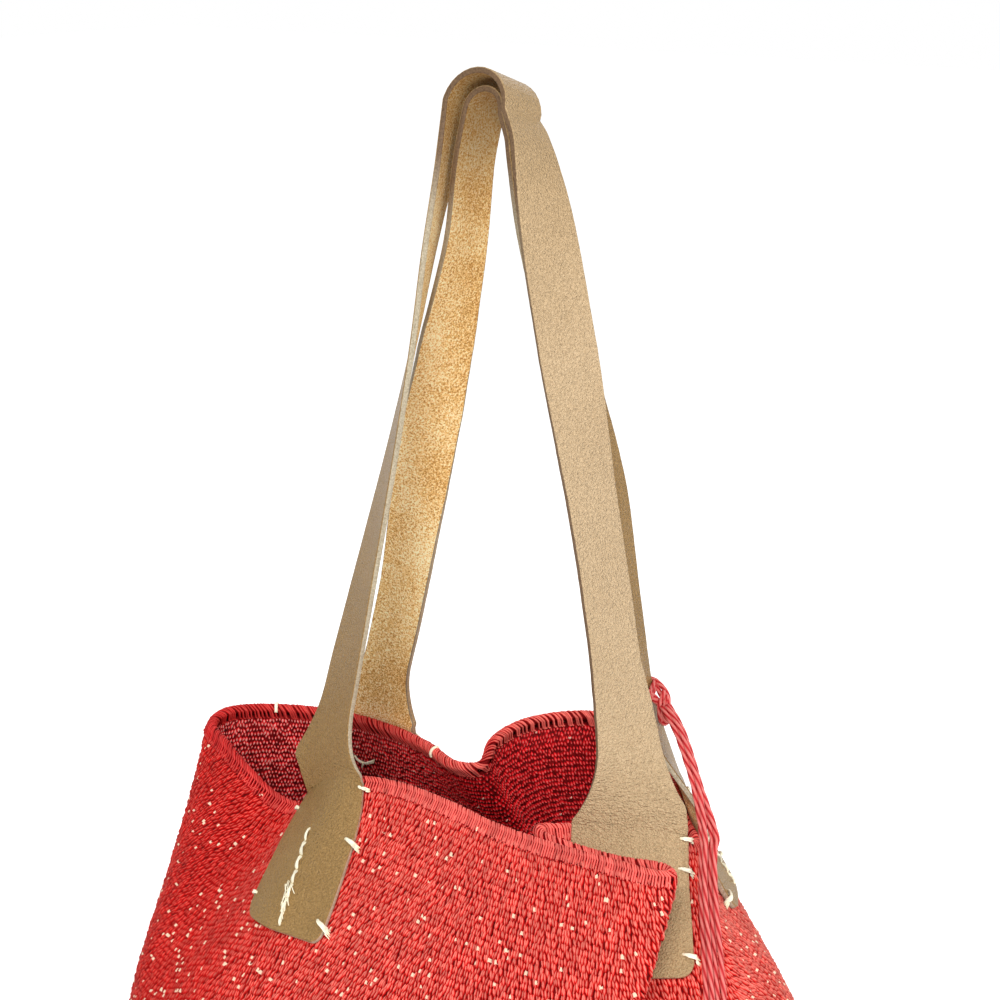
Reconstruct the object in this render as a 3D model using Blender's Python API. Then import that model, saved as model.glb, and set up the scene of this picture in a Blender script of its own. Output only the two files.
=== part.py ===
# Hand-twined basket bag with two long leather handles and a yarn tie.
# Units are metres, +Z is up, and the origin is under the middle of the basket, at its base.

from math import cos, pi, radians, sin

import bmesh
import bpy
import numpy as np
from mathutils import Matrix, Vector

# Driving dimensions of the woven body
RIM_HEIGHT = 0.320  # level at which the handles bend, above the surface the base stands on
BELLY_HALF = (0.176, 0.116)  # half of the widest cross-section, across and deep
BELLY_DEPTH = 0.190  # how far below the rim level every fold has opened out
BASE_SHARE = 0.56  # flat base as a share of the belly
WALL = 0.0034
BASE_WALL = 0.0050
UNFOLD_POWER = 1.3
GAP = 0.0003  # clearance between pieces that touch
SEAT = 0.0007  # leather and yarn lie this far off the coarse weave

# The mouth as it hangs: x, y, height above the rim level, direction in degrees in which the
# same strand meets the belly, and the depth at which its fold has opened out
MOUTH = (
    (-0.150, 0.011, 0.002, 180, 0.150),
    (-0.147, -0.003, 0.000, 188, 0.150),
    (-0.131, -0.010, -0.004, 198, 0.150),
    (-0.112, -0.012, -0.0135, 209, 0.150),
    (-0.097, -0.0095, -0.0225, 217, 0.150),
    (-0.083, -0.0075, -0.023, 226, 0.150),
    (-0.066, -0.0115, -0.009, 236, 0.150),
    (-0.048, -0.017, 0.000, 246, 0.150),
    (-0.029, -0.0130, 0.001, 254, 0.150),
    (0.000, -0.014, 0.000, 264, 0.150),
    (0.030, -0.018, -0.002, 279, 0.150),
    (0.060, -0.021, -0.002, 293, 0.155),
    (0.089, -0.0225, -0.001, 303, 0.160),
    (0.111, -0.0220, -0.001, 309, 0.165),
    (0.1180, -0.0180, -0.001, 311, 0.168),
    (0.111, -0.0135, -0.001, 312.5, 0.171),
    (0.089, -0.0138, -0.003, 314.5, 0.176),
    (0.066, -0.0140, -0.003, 316, 0.180),
    (0.053, -0.0138, -0.002, 317.5, 0.181),
    (0.047, -0.0098, -0.001, 319.5, 0.181),
    (0.052, -0.0058, -0.001, 321.5, 0.178),
    (0.060, -0.0030, 0.000, 323.5, 0.176),
    (0.070, 0.0020, 0.000, 327, 0.173),
    (0.084, 0.0115, 0.000, 333, 0.169),
    (0.0935, 0.0185, -0.002, 339, 0.166),
    (0.0985, 0.0235, -0.005, 344, 0.163),
    (0.0988, 0.0280, -0.007, 349, 0.160),
    (0.0950, 0.0325, -0.006, 354, 0.157),
    (0.081, 0.0435, -0.001, 366, 0.152),
    (0.069, 0.0575, 0.000, 381, 0.150),
    (0.057, 0.071, 0.005, 397, 0.150),
    (0.040, 0.083, 0.012, 412, 0.150),
    (0.014, 0.081, 0.015, 427, 0.150),
    (-0.001, 0.070, 0.015, 437, 0.150),
    (-0.012, 0.053, 0.013, 446, 0.150),
    (-0.0165, 0.040, 0.008, 451, 0.150),
    (-0.015, 0.0305, 0.001, 455, 0.150),
    (-0.026, 0.0275, -0.001, 459, 0.150),
    (-0.050, 0.037, 0.000, 470, 0.150),
    (-0.080, 0.0445, 0.000, 485, 0.150),
    (-0.110, 0.042, 0.001, 502, 0.150),
    (-0.138, 0.027, 0.002, 521, 0.150),
)
LOOP_SAMPLES = 1200
AROUND_STEP = 0.0120  # spacing of the body's columns on its straight stretches
POINTS_PER_RADIAN = 2.5  # extra columns where the mouth bends
SMOOTH_REACH = 8  # samples on each side over which the bend is evened out
UPPER_LEVELS = (0.0, 0.05, 0.12, 0.21, 0.32, 0.45, 0.60, 0.78, 1.0)
LOWER_STEPS = 5
BASE_RINGS = (0.66, 0.33)

# Rolled edge
ROLL_RADIUS = 0.0023
ROLL_SIDES = 7
ROLL_INSET = 0.0006
ROLL_SEAT = 0.0009

# Leather
LEATHER = 0.0025
STRAP_WIDTH = 0.025
TAB_WIDTH = 0.046
TAB_CORNER = 0.006
NECK_LENGTH = 0.037  # leather between the sewn tab and the full narrow strap
NECK_FLAT = 0.003
NECK_POWER = 2.2
CROWN_HEIGHT = 0.6225  # outside of the outer strap at its highest point
CROWN_LEAN = radians(18)  # the near edge stands higher where the straps are hung
CROWN_PLACE = (0.011, 0.007)
INNER_CROWN_RADIUS = 0.0087
OUTER_CROWN_RADIUS = 0.0147
OUTER_CROWN = (OUTER_CROWN_RADIUS, -0.003)  # radius, and slide along the leather's width
INNER_CROWN = (INNER_CROWN_RADIUS, 0.003)
CROWN_ARM, FOOT_ARM = 0.12, 0.30
FOOT_TURN = 0.3  # how far the leg's foot turns towards the lie of the tab
HANG_STEP = 0.006
SLOPE_DEPTHS = (0.004, 0.060)  # between these the wall's slope below a tab is measured
LEAN_SHARE = 0.25
CROWN_STEPS = 9
LEG_STEPS = 22
LEG_SAMPLES = 240
REACH = 0.09  # share of the mouth searched on each side of a tab
NECK_STEPS = 8
TAB_STEPS, TAB_COLUMNS, STRAP_COLUMNS = 10, 9, 4
TAB_OFF = WALL / 2 + SEAT  # inner face of a tab, from the middle of the wall

# Each leg: name, place of its tab on the mouth, side, crown, directions of its width from the
# crown down in degrees, bow of its middle, sideways run of the tab, and length of the tab
LEGS = (
    ("front_left", (-0.0645, -0.012), -1, OUTER_CROWN,
     ((0.0, 90), (0.12, 108), (0.28, 118), (0.42, 126), (0.56, 135), (0.71, 146), (0.85, 156)),
     ((0, 0.0, 0), (0.12, -0.0004, -0.0021), (0.27, 0.0020, -0.0043), (0.42, 0.0041, -0.0029),
      (0.57, 0.0043, -0.0012), (0.73, 0.003, 0), (0.87, 0.0016, 0), (1, 0.0, 0)), 0.40, 0.075),
    ("front_right", (0.0795, 0.0077), 1, OUTER_CROWN,
     ((0.0, 90), (0.08, 89), (0.21, 71), (0.4, 59), (0.6, 76), (0.84, 68)),
     ((0, 0.0, 0), (0.06, 0.0049, 0), (0.14, 0.0081, 0), (0.25, 0.0104, 0), (0.42, 0.0111, 0),
      (0.56, 0.0099, 0), (0.69, 0.0081, 0), (0.8, 0.0056, 0), (1, 0.0, 0)), -0.09, 0.065),
    ("back_left", (-0.088, 0.0445), -1, INNER_CROWN,
     ((0.0, 90), (0.15, 88), (0.28, 83), (0.42, 62), (0.56, 31), (0.74, 1)),
     ((0, 0.0, 0), (0.13, 0.0003, 0), (0.27, 0.0032, 0.0009), (0.42, 0.0038, 0.0004), (0.6, 0.004, 0),
      (0.77, 0.0043, 0), (0.9, 0.0015, 0), (1, 0.0, 0)), 0.0, 0.068),
    ("back_right", (0.0795, 0.045), 1, INNER_CROWN,
     ((0.0, 90), (0.25, 84), (0.5, 81), (0.78, 96)),
     ((0, 0.0, 0), (0.08, 0.005, 0), (0.25, 0.005, 0), (0.42, 0.004, 0), (0.57, 0.003, 0),
      (0.72, -0.0054, 0), (0.86, -0.0095, 0), (1, 0.0, 0)), 0.45, 0.056),
)

# Sewing thread
THREAD = 0.0008
THREAD_SIDES = 6
WHIP_REACH = 0.0055
SEAM_START, SEAM_END = 0.044, 0.003  # lengths above the tab's lower end
SEAM_PITCH = 0.0060
# Thread lumps: place across and down the tab's line, and half sizes
SEAM_KNOT = (0.0042, 0.052)
SEAM_KNOT_SIZE = (0.0026, 0.0032, 0.0013)
INSIDE_TUFT = (0.006, 0.026)
INSIDE_TUFT_SIZE = (0.0030, 0.0036, 0.0016)

# Stitches over the tabs' side edges: direction along the mouth, and length above the tab's lower end
LOW, MIDDLE = 0.009, 0.0445
WHIPS = {
    "front_left": ((1, 0.0705), (1, MIDDLE), (1, LOW), (-1, MIDDLE), (-1, LOW)),
    "front_right": ((1, 0.0585), (1, MIDDLE), (1, LOW), (-1, MIDDLE)),
    "back_left": ((1, 0.062), (1, MIDDLE), (1, LOW), (-1, 0.062), (-1, MIDDLE), (-1, LOW)),
    "back_right": ((1, 0.0485), (1, 0.0285), (1, LOW), (-1, MIDDLE), (-1, LOW)),
}

# Yarn tie
YARN = 0.0012
YARN_STRANDS = 4
TIE_HEIGHT = 0.0430  # length of leather between the knot and the hinge of the back handle's right leg
KNOT_WIDE, KNOT_LONG, KNOT_THICK = 0.0052, 0.0060, 0.0042  # half sizes
KNOT_INSET = 0.004  # from the strap's near edge
# Way of the loose ends: length up the leg, across it, and away from it
YARN_WAY = ((0.0350, -0.0085, 0.0016), (0.026, -0.0105, 0.002), (0.014, -0.0150, 0.003))
# then length down the wall, distance from the middle of the front right tab, share spread out, and lift
YARN_FALL = (
    (0.004, 0.0290, 0.0, 0.0056),
    (0.016, 0.0295, 0.1, 0.0052),
    (0.032, 0.0305, 0.4, 0.0036),
    (0.050, 0.0315, 0.7, 0.0012),
    (0.075, 0.0320, 1.0, 0.0),
    (0.210, 0.0330, 1.0, 0.0),
)
YARN_STATIONS = 18

RED = (0.62, 0.035, 0.045, 1.0)
DEEP_RED = (0.42, 0.02, 0.03, 1.0)
TAN = (0.30, 0.20, 0.12, 1.0)
CREAM = (0.80, 0.72, 0.52, 1.0)
YARN_RED = (0.66, 0.06, 0.09, 1.0)


def material(name, colour, roughness):
    made = bpy.data.materials.new(name)
    made.use_nodes = True
    shader = made.node_tree.nodes["Principled BSDF"]
    shader.inputs["Base Color"].default_value = colour
    shader.inputs["Roughness"].default_value = roughness
    shader.inputs["Metallic"].default_value = 0.0
    return made


def closed_spline(rows, count):
    """Points of a closed cubic through every row, spaced evenly along the first two columns."""
    rows = np.array(rows, float)
    last = rows[:1].copy()
    last[0, 3] += 360
    ring = np.vstack([rows, last])
    before = rows[-1:].copy()
    before[0, 3] -= 360
    after = rows[1:2].copy()
    after[0, 3] += 360
    ring = np.vstack([before, ring, after])
    fine = []
    for i in range(1, len(ring) - 2):
        p0, p1, p2, p3 = ring[i - 1 : i + 3]
        pairs = ((p0, p1), (p1, p2), (p2, p3))
        gaps = [max(np.linalg.norm(b[:2] - a[:2]) ** 0.5, 1e-6) for a, b in pairs]
        m1 = (p1 - p0) / gaps[0] - (p2 - p0) / (gaps[0] + gaps[1]) + (p2 - p1) / gaps[1]
        m2 = (p2 - p1) / gaps[1] - (p3 - p1) / (gaps[1] + gaps[2]) + (p3 - p2) / gaps[2]
        m1, m2 = m1 * gaps[1], m2 * gaps[1]
        for t in np.linspace(0, 1, 60, endpoint=False):
            fine.append(
                (2 * t**3 - 3 * t**2 + 1) * p1
                + (t**3 - 2 * t**2 + t) * m1
                + (3 * t**2 - 2 * t**3) * p2
                + (t**3 - t**2) * m2
            )
    fine.append(ring[-2])
    fine = np.array(fine)
    along = np.concatenate([[0], np.cumsum(np.linalg.norm(np.diff(fine[:, :2], axis=0), axis=1))])
    at = np.linspace(0, along[-1], count + 1)
    return np.stack([np.interp(at, along, fine[:, k]) for k in range(5)], axis=1), along[-1]


LOOP, MOUTH_LENGTH = closed_spline(MOUTH, LOOP_SAMPLES)


def strand(share):
    """Mouth place, edge height, belly direction and unfolding depth at a share of the mouth."""
    share = np.asarray(share, float)
    at = (share % 1.0) * LOOP_SAMPLES
    row = np.stack([np.interp(at, np.arange(LOOP_SAMPLES + 1), LOOP[:, k]) for k in range(5)], axis=-1)
    row[..., 3] += 360 * np.floor(share)
    return row


def opening(depth, whole):
    """How far the fold has opened out at a depth, from 0 at the rim level to 1."""
    return np.sin(np.clip(depth / whole, 0, 1) * pi / 2) ** UNFOLD_POWER


def edge_depth(share):
    """Depth at which the woven wall ends, below the roll that covers it."""
    return 2 * ROLL_RADIUS + ROLL_SEAT - strand(share)[..., 2]


def wall_middle(share, depth):
    """Point in the middle of the wall, at a share of the mouth and a depth below the rim level."""
    row = strand(share)
    depth = np.asarray(depth, float)
    start = opening(-row[..., 2], row[..., 4])
    weight = np.maximum((opening(depth, row[..., 4]) - start) / (1 - start), 0)
    below = np.clip((depth - BELLY_DEPTH) / (RIM_HEIGHT - BELLY_DEPTH), 0, 1)
    shrink = BASE_SHARE + (1 - BASE_SHARE) * np.sqrt(1 - below**2)
    angle = np.radians(row[..., 3])
    x = (1 - weight) * row[..., 0] + weight * BELLY_HALF[0] * np.cos(angle) * shrink
    y = (1 - weight) * row[..., 1] + weight * BELLY_HALF[1] * np.sin(angle) * shrink
    return np.stack([x, y, RIM_HEIGHT - depth + 0 * x], axis=-1)


def wall_normal(share, depth):
    """Direction out of the basket, square to the wall."""
    step, drop = 0.0006, 0.0008
    depth = np.asarray(depth, float)
    along = wall_middle(share + step, depth) - wall_middle(share - step, depth)
    down = wall_middle(share, depth + drop) - wall_middle(share, depth - drop)
    n = np.cross(down, along)
    return n / np.linalg.norm(n, axis=-1, keepdims=True)


def columns():
    """Shares of the mouth at which the body has a column, closer together where the mouth bends."""
    d = np.diff(np.vstack([LOOP, LOOP[1:2]])[:, :2], axis=0)
    heading = np.unwrap(np.arctan2(d[:, 1], d[:, 0]))
    turning = np.abs(np.diff(heading))
    length = MOUTH_LENGTH / LOOP_SAMPLES
    ends = SMOOTH_REACH
    wrapped = np.concatenate([turning[-ends:], turning, turning[:ends]])
    smooth = np.convolve(wrapped, np.ones(2 * ends + 1) / (2 * ends + 1), "same")[ends:-ends]
    wanted = np.concatenate([[0], np.cumsum(length / AROUND_STEP + smooth * POINTS_PER_RADIAN)])
    count = int(round(wanted[-1]))
    shares = np.linspace(0, 1, len(wanted))
    return np.interp(np.arange(count) * wanted[-1] / count, wanted, shares)


def add_mesh(name, points, faces, colour, roughness):
    mesh = bpy.data.meshes.new(name)
    mesh.from_pydata([tuple(map(float, p)) for p in points], [], faces)
    mesh.materials.append(material(name, colour, roughness))
    bm = bmesh.new()
    bm.from_mesh(mesh)
    bmesh.ops.recalc_face_normals(bm, faces=bm.faces)
    if bm.calc_volume(signed=True) < 0:
        bmesh.ops.reverse_faces(bm, faces=bm.faces)
    bmesh.ops.triangulate(bm, faces=bm.faces)
    bm.to_mesh(mesh)
    bm.free()
    mesh.shade_smooth()
    mesh.set_sharp_from_angle(angle=radians(40))
    made = bpy.data.objects.new(name, mesh)
    bpy.context.scene.collection.objects.link(made)
    return made


def share_near(x, y):
    """Share of the mouth nearest to a place."""
    return float(np.argmin(np.hypot(LOOP[:-1, 0] - x, LOOP[:-1, 1] - y))) / LOOP_SAMPLES


def woven_body():
    """One closed shell: outer face from the edge to the base, and the inner face back up."""
    shares = columns()
    count = len(shares)
    top = edge_depth(shares)
    depths = [top + (BELLY_DEPTH - top) * level for level in UPPER_LEVELS]
    for k in range(1, LOWER_STEPS + 1):
        lower = (RIM_HEIGHT - BELLY_DEPTH) * sin(k / LOWER_STEPS * pi / 2)
        depths.append(np.full(count, BELLY_DEPTH + lower))
    outer, inner = [], []
    for depth in depths:
        middle = wall_middle(shares, depth)
        normal = wall_normal(shares, np.minimum(depth, RIM_HEIGHT - 0.004))
        level = normal * (1, 1, 0)
        level /= np.linalg.norm(level, axis=1, keepdims=True)
        lower = np.clip((depth - BELLY_DEPTH) / (RIM_HEIGHT - BELLY_DEPTH), 0, 1)[:, None]
        out = (level * (1 - lower) + normal * lower) * WALL / 2
        outer.append(middle + out)
        inner.append(middle - out)
    outer[-1][:, 2] = 0.0
    inner[-1][:, 2] = BASE_WALL
    foot, floor = outer[-1], inner[-1]
    outer += [foot * (share, share, 1) for share in BASE_RINGS]
    inner += [floor * (share, share, 1) for share in BASE_RINGS]
    points = [p for ring in outer + inner for p in ring]
    layers = len(outer)

    def index(side, level, column):
        return (side * layers + level) * count + column % count

    faces = []
    for side in (0, 1):
        for level in range(layers - 1):
            for c in range(count):
                faces.append([
                    index(side, level, c),
                    index(side, level, c + 1),
                    index(side, level + 1, c + 1),
                    index(side, level + 1, c),
                ])
    for c in range(count):
        faces.append([index(0, 0, c), index(0, 0, c + 1), index(1, 0, c + 1), index(1, 0, c)])
    for side, height in ((0, 0.0), (1, BASE_WALL)):
        points.append((0, 0, height))
        for c in range(count):
            faces.append([index(side, layers - 1, c), index(side, layers - 1, c + 1), len(points) - 1])
    return add_mesh("woven_body", points, faces, RED, 0.8)


def tube(name, path, radius, sides, colour, closed=False):
    """Round tube along a path, its frame carried along without twist."""
    path = np.array(path, float)
    count = len(path)
    if closed:
        tangents = np.roll(path, -1, axis=0) - np.roll(path, 1, axis=0)
    else:
        tangents = np.gradient(path, axis=0)
    tangents /= np.linalg.norm(tangents, axis=1, keepdims=True)
    level = np.cross(tangents[0], (0.0, 0.0, 1.0))
    side = level if np.linalg.norm(level) > 0.2 else np.cross(tangents[0], (1.0, 0.0, 0.0))
    points = []
    for place, tangent, r in zip(path, tangents, np.broadcast_to(radius, count)):
        if closed:
            side = np.cross(tangent, (0.0, 0.0, 1.0))
        side = side - tangent * np.dot(side, tangent)
        side /= np.linalg.norm(side)
        up = np.cross(side, tangent)
        for k in range(sides):
            turn = 2 * pi * k / sides
            points.append(place + r * (side * cos(turn) + up * sin(turn)))
    faces = []
    for i in range(count if closed else count - 1):
        j = (i + 1) % count
        for k in range(sides):
            m = (k + 1) % sides
            faces.append([i * sides + k, i * sides + m, j * sides + m, j * sides + k])
    if not closed:
        faces.append(list(range(sides)))
        faces.append([(count - 1) * sides + k for k in range(sides)])
    return add_mesh(name, points, faces, colour, 0.8)


def rolled_edge():
    """Whipped roll on the top of the wall, its outer side flush with the wall."""
    shares = columns()
    edge = edge_depth(shares)
    top = wall_middle(shares, edge)
    run = np.roll(top, -1, axis=0) - np.roll(top, 1, axis=0)
    level = np.hypot(run[:, 0], run[:, 1]) / np.linalg.norm(run, axis=1)
    depth = edge - (ROLL_RADIUS + ROLL_SEAT) / level
    inset = ROLL_RADIUS - WALL / 2 + ROLL_INSET
    path = wall_middle(shares, depth) - wall_normal(shares, depth) * inset
    return tube("rolled_edge", path, ROLL_RADIUS, ROLL_SIDES, DEEP_RED, closed=True)


def crown_frame(radius, angle, shift):
    """Place, width direction and outward face over the crown, from angle 0 on the right to pi."""
    width = np.array([0.0, cos(CROWN_LEAN), -sin(CROWN_LEAN)])
    rise = np.array([0.0, sin(CROWN_LEAN), cos(CROWN_LEAN)])
    centre = np.array([CROWN_PLACE[0], CROWN_PLACE[1], CROWN_HEIGHT - OUTER_CROWN_RADIUS - LEATHER / 2])
    face = cos(angle) * np.array([1.0, 0.0, 0.0]) + sin(angle) * rise
    return centre + width * shift + radius * face, width, face


def smooth_keys(keys, at):
    """Cubic through (share, value) keys."""
    i = int(np.clip(np.searchsorted([k[0] for k in keys], at) - 1, 0, len(keys) - 2))
    k0, k1 = keys[max(i - 1, 0)], keys[i]
    k2, k3 = keys[i + 1], keys[min(i + 2, len(keys) - 1)]
    span = k2[0] - k1[0]
    t = (at - k1[0]) / span
    m1 = (k2[1] - k0[1]) / (k2[0] - k0[0]) * span
    m2 = (k3[1] - k1[1]) / (k3[0] - k1[0]) * span
    start = (2 * t**3 - 3 * t**2 + 1) * k1[1] + (t**3 - 2 * t**2 + t) * m1
    return start + (3 * t**2 - 2 * t**3) * k2[1] + (t**3 - t**2) * m2


class Leg:
    """One leg of a handle: the tab sewn to the wall, the neck above it and the strap up to the crown."""

    def __init__(self, name, place, side, crown, turns, bow, drift, tab):
        self.name = name
        self.share = share_near(*place)  # middle of the tab
        self.side = side  # -1 on the left, 1 on the right
        self.drift = drift  # sideways run of the tab for each length down it
        self.tab = tab  # length of the tab
        high, low = [wall_middle(self.share, depth) for depth in SLOPE_DEPTHS]
        self.slope = (high[2] - low[2]) / np.linalg.norm(high - low)
        radius, shift = crown
        start = crown_frame(radius, 0.0 if side > 0 else pi, shift)[0]
        foot = self.over(0.0, 0.0, TAB_OFF + LEATHER / 2)
        edge = (self.over(0.01, 0.0, TAB_OFF) - self.over(-0.01, 0.0, TAB_OFF)) * side
        last = np.degrees(np.arctan2(edge[1], edge[0]))
        last += 360 * round((turns[-1][1] - last) / 360)
        self.keys = list(turns) + [(1.0, last)]
        self.trace(start, foot, bow)

    def over(self, across, down, off):
        """Point over the wall: across the tab, down from the hinge, and off the wall's middle."""
        depth = down * self.slope
        reach = self.share + np.linspace(-REACH, REACH, 121)
        run = np.linalg.norm(np.diff(wall_middle(reach, depth), axis=0), axis=1)
        run = np.concatenate([[0], np.cumsum(run)])
        share = np.interp(across + self.drift * down + np.interp(self.share, reach, run), run, reach)
        return wall_middle(share, depth) + wall_normal(share, depth) * off

    def trace(self, start, foot, bow):
        """Sample the leg from the crown down to the hinge."""
        chord = foot - start
        straight = chord / np.linalg.norm(chord)
        hang = self.over(-self.drift * HANG_STEP, HANG_STEP, TAB_OFF) - self.over(0.0, 0.0, TAB_OFF)
        first = np.array([0.0, -sin(CROWN_LEAN), -cos(CROWN_LEAN)])
        last = straight * (1 - FOOT_TURN) + hang / np.linalg.norm(hang) * FOOT_TURN
        reach = np.linalg.norm(chord)
        a, b = start + first * reach * CROWN_ARM, foot - last * reach * FOOT_ARM
        s = np.linspace(0, 1, LEG_SAMPLES)[:, None]
        path = (1 - s) ** 3 * start + 3 * (1 - s) ** 2 * s * a + 3 * (1 - s) * s**2 * b + s**3 * foot
        for axis in (0, 1):
            keys = [(key[0], key[1 + axis]) for key in bow]
            path[:, axis] += [smooth_keys(keys, share) for share in s[:, 0]]
        tangents = np.gradient(path, axis=0)
        tangents /= np.linalg.norm(tangents, axis=1, keepdims=True)
        widths = []
        for share in s[:, 0]:
            turn = radians(smooth_keys(self.keys, share))
            lean = CROWN_LEAN * max(0.0, 1 - share / LEAN_SHARE) ** 2
            widths.append([cos(turn) * cos(lean), sin(turn) * cos(lean), -sin(lean)])
        widths = np.array(widths)
        widths -= tangents * (widths * tangents).sum(1)[:, None]
        widths /= np.linalg.norm(widths, axis=1, keepdims=True)
        self.path, self.widths = path, widths
        self.faces = -self.side * np.cross(widths, tangents)
        steps = np.linalg.norm(np.diff(path, axis=0), axis=1)
        self.up = np.concatenate([np.cumsum(steps[::-1])[::-1], [0.0]])
        self.length = self.up[0]

    def at(self, up):
        """Middle, width direction and outward face at a length up the leather from the hinge."""
        found = [
            np.array([np.interp(up, self.up[::-1], row[::-1, k]) for k in range(3)])
            for row in (self.path, self.widths, self.faces)
        ]
        return found[0], found[1] / np.linalg.norm(found[1]), found[2] / np.linalg.norm(found[2])

    def skin(self, up, across, off):
        """Point off the middle of the neck: it follows the wall at the hinge, and is flat higher up."""
        middle, width, face = self.at(up)
        curl = max(1 - up / NECK_LENGTH, 0.0) ** 2
        flat = middle + width * across + face * off
        bent = middle - self.at(0.0)[0] + self.over(across * self.side, 0.0, TAB_OFF + LEATHER / 2 + off)
        return flat * (1 - curl) + bent * curl


def slab(name, rows, colour):
    """Closed sheet of leather from rows of (inner point, outer point) pairs."""
    high, wide = len(rows), len(rows[0])
    points = [pair[0] for row in rows for pair in row] + [pair[1] for row in rows for pair in row]
    back = high * wide
    faces = []
    for i in range(high - 1):
        for k in range(wide - 1):
            a, b, c, d = i * wide + k, i * wide + k + 1, (i + 1) * wide + k + 1, (i + 1) * wide + k
            faces += [[a, b, c, d], [back + d, back + c, back + b, back + a]]
    border = list(range(wide))
    border += [i * wide + wide - 1 for i in range(1, high)]
    border += [(high - 1) * wide + k for k in range(wide - 2, -1, -1)]
    border += [i * wide for i in range(high - 2, 0, -1)]
    for a, b in zip(border, border[1:] + border[:1]):
        faces.append([b, a, back + a, back + b])
    return add_mesh(name, points, faces, colour, 0.5)


def tab_half_width(left):
    """Half the tab's width at a length above its lower end, drawn in round the two corners."""
    if left >= TAB_CORNER:
        return TAB_WIDTH / 2
    return TAB_WIDTH / 2 - TAB_CORNER + (TAB_CORNER**2 - (TAB_CORNER - left) ** 2) ** 0.5


def sewn_tab(leg):
    downs = list(np.linspace(GAP / 2, leg.tab - TAB_CORNER, TAB_STEPS))
    downs += [leg.tab - TAB_CORNER * left for left in (0.6, 0.28, 0.07, 0.0)]
    rows = []
    for down in downs:
        half = tab_half_width(leg.tab - down)
        rows.append([
            (leg.over(across, down, TAB_OFF), leg.over(across, down, TAB_OFF + LEATHER))
            for across in np.linspace(-half, half, TAB_COLUMNS)
        ])
    return slab(leg.name + "_tab", rows, TAN)


def neck_half_width(up):
    """Half the leather's width above the hinge: the tab's width, then a hollow flare to the strap's."""
    x = min(max((up - NECK_FLAT) / (NECK_LENGTH - NECK_FLAT), 0.0), 1.0)
    return (STRAP_WIDTH + (TAB_WIDTH - STRAP_WIDTH) * (1 - x) ** NECK_POWER) / 2


def neck(leg):
    """The flared leather above the rim, which bends when the handle is swung."""
    rows = []
    for up in np.linspace(GAP / 2, NECK_LENGTH - GAP / 2, NECK_STEPS):
        half = neck_half_width(up)
        rows.append([
            (leg.skin(up, across, -LEATHER / 2), leg.skin(up, across, LEATHER / 2))
            for across in np.linspace(-half, half, TAB_COLUMNS)
        ])
    return slab(leg.name + "_neck", rows, TAN)


def strap(name, left, right, crown):
    """The narrow strap, from one neck over the crown to the other neck."""
    radius, shift = crown
    rows = []
    for leg in (left, right):
        ups = np.linspace(NECK_LENGTH + GAP / 2, leg.length, LEG_STEPS)
        rows.append([leg.at(up) for up in ups])
    turns = np.linspace(pi, 0, CROWN_STEPS)[1:-1]
    over = [crown_frame(radius, turn, shift) for turn in turns]
    sections = []
    for middle, width, face in rows[0] + over + rows[1][::-1]:
        sections.append([
            (middle + width * across - face * LEATHER / 2, middle + width * across + face * LEATHER / 2)
            for across in np.linspace(-STRAP_WIDTH / 2, STRAP_WIDTH / 2, STRAP_COLUMNS)
        ])
    return slab(name, sections, TAN)


def seam(leg):
    """Running stitch down the middle of the tab: one thread, thick where a stitch shows."""
    path, radii = [], []
    height = TAB_OFF + LEATHER + GAP + THREAD
    for left in np.arange(SEAM_START, SEAM_END, -SEAM_PITCH / 4):
        shows = abs((SEAM_START - left) / SEAM_PITCH % 1 - 0.5) < 0.3
        down = leg.tab - left
        path.append(leg.over(0.0, down, height))
        radii.append(THREAD if shows else THREAD * 0.55)
    return tube(leg.name + "_seam", path, radii, THREAD_SIDES, CREAM)


def whip_stitch(leg, number, edge, left):
    """Thread over one side edge of the tab, from its face to the wall beside it."""
    half = TAB_WIDTH / 2
    lift = GAP * 2 + THREAD
    face, wall = TAB_OFF + LEATHER, WALL / 2
    bend = lift * 0.72
    stations = (
        (half - WHIP_REACH, face + lift, 0.0),
        (half - WHIP_REACH / 2, face + lift * 1.1, 0.0008),
        (half, face + lift, 0.0016),
        (half + bend, face + bend, 0.0019),
        (half + lift, (face + wall) / 2, 0.0022),
        (half + lift * 1.3, wall + SEAT + lift, 0.0026),
        (half + lift + 0.0020, wall + SEAT + THREAD, 0.0034),
    )
    path = [leg.over(edge * across, leg.tab - left + slant, off) for across, off, slant in stations]
    return tube(leg.name + "_stitch_%d" % number, path, THREAD, THREAD_SIDES, CREAM)


def lump(name, middle, radii, direction, colour):
    """Small knot: a flattened ball with its thickness along a direction."""
    mesh = bpy.data.meshes.new(name)
    bm = bmesh.new()
    bmesh.ops.create_uvsphere(bm, u_segments=12, v_segments=8, radius=1.0)
    turn = Vector(direction).to_track_quat("Z", "Y").to_matrix().to_4x4()
    bm.transform(Matrix.Translation(Vector(middle)) @ turn @ Matrix.Diagonal((*radii, 1.0)))
    bm.to_mesh(mesh)
    bm.free()
    mesh.materials.append(material(name, colour, 0.8))
    mesh.shade_smooth()
    made = bpy.data.objects.new(name, mesh)
    bpy.context.scene.collection.objects.link(made)
    return made


def thread_lump(name, leg, place, radii, surface, outward):
    """Knot of thread on a face that lies at a distance off the middle of the wall."""
    across, down = place
    middle = leg.over(across, down, surface + outward * (GAP * 3 + radii[2]))
    lump(name, middle, radii, wall_normal(leg.share, down) * outward, CREAM)


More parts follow.
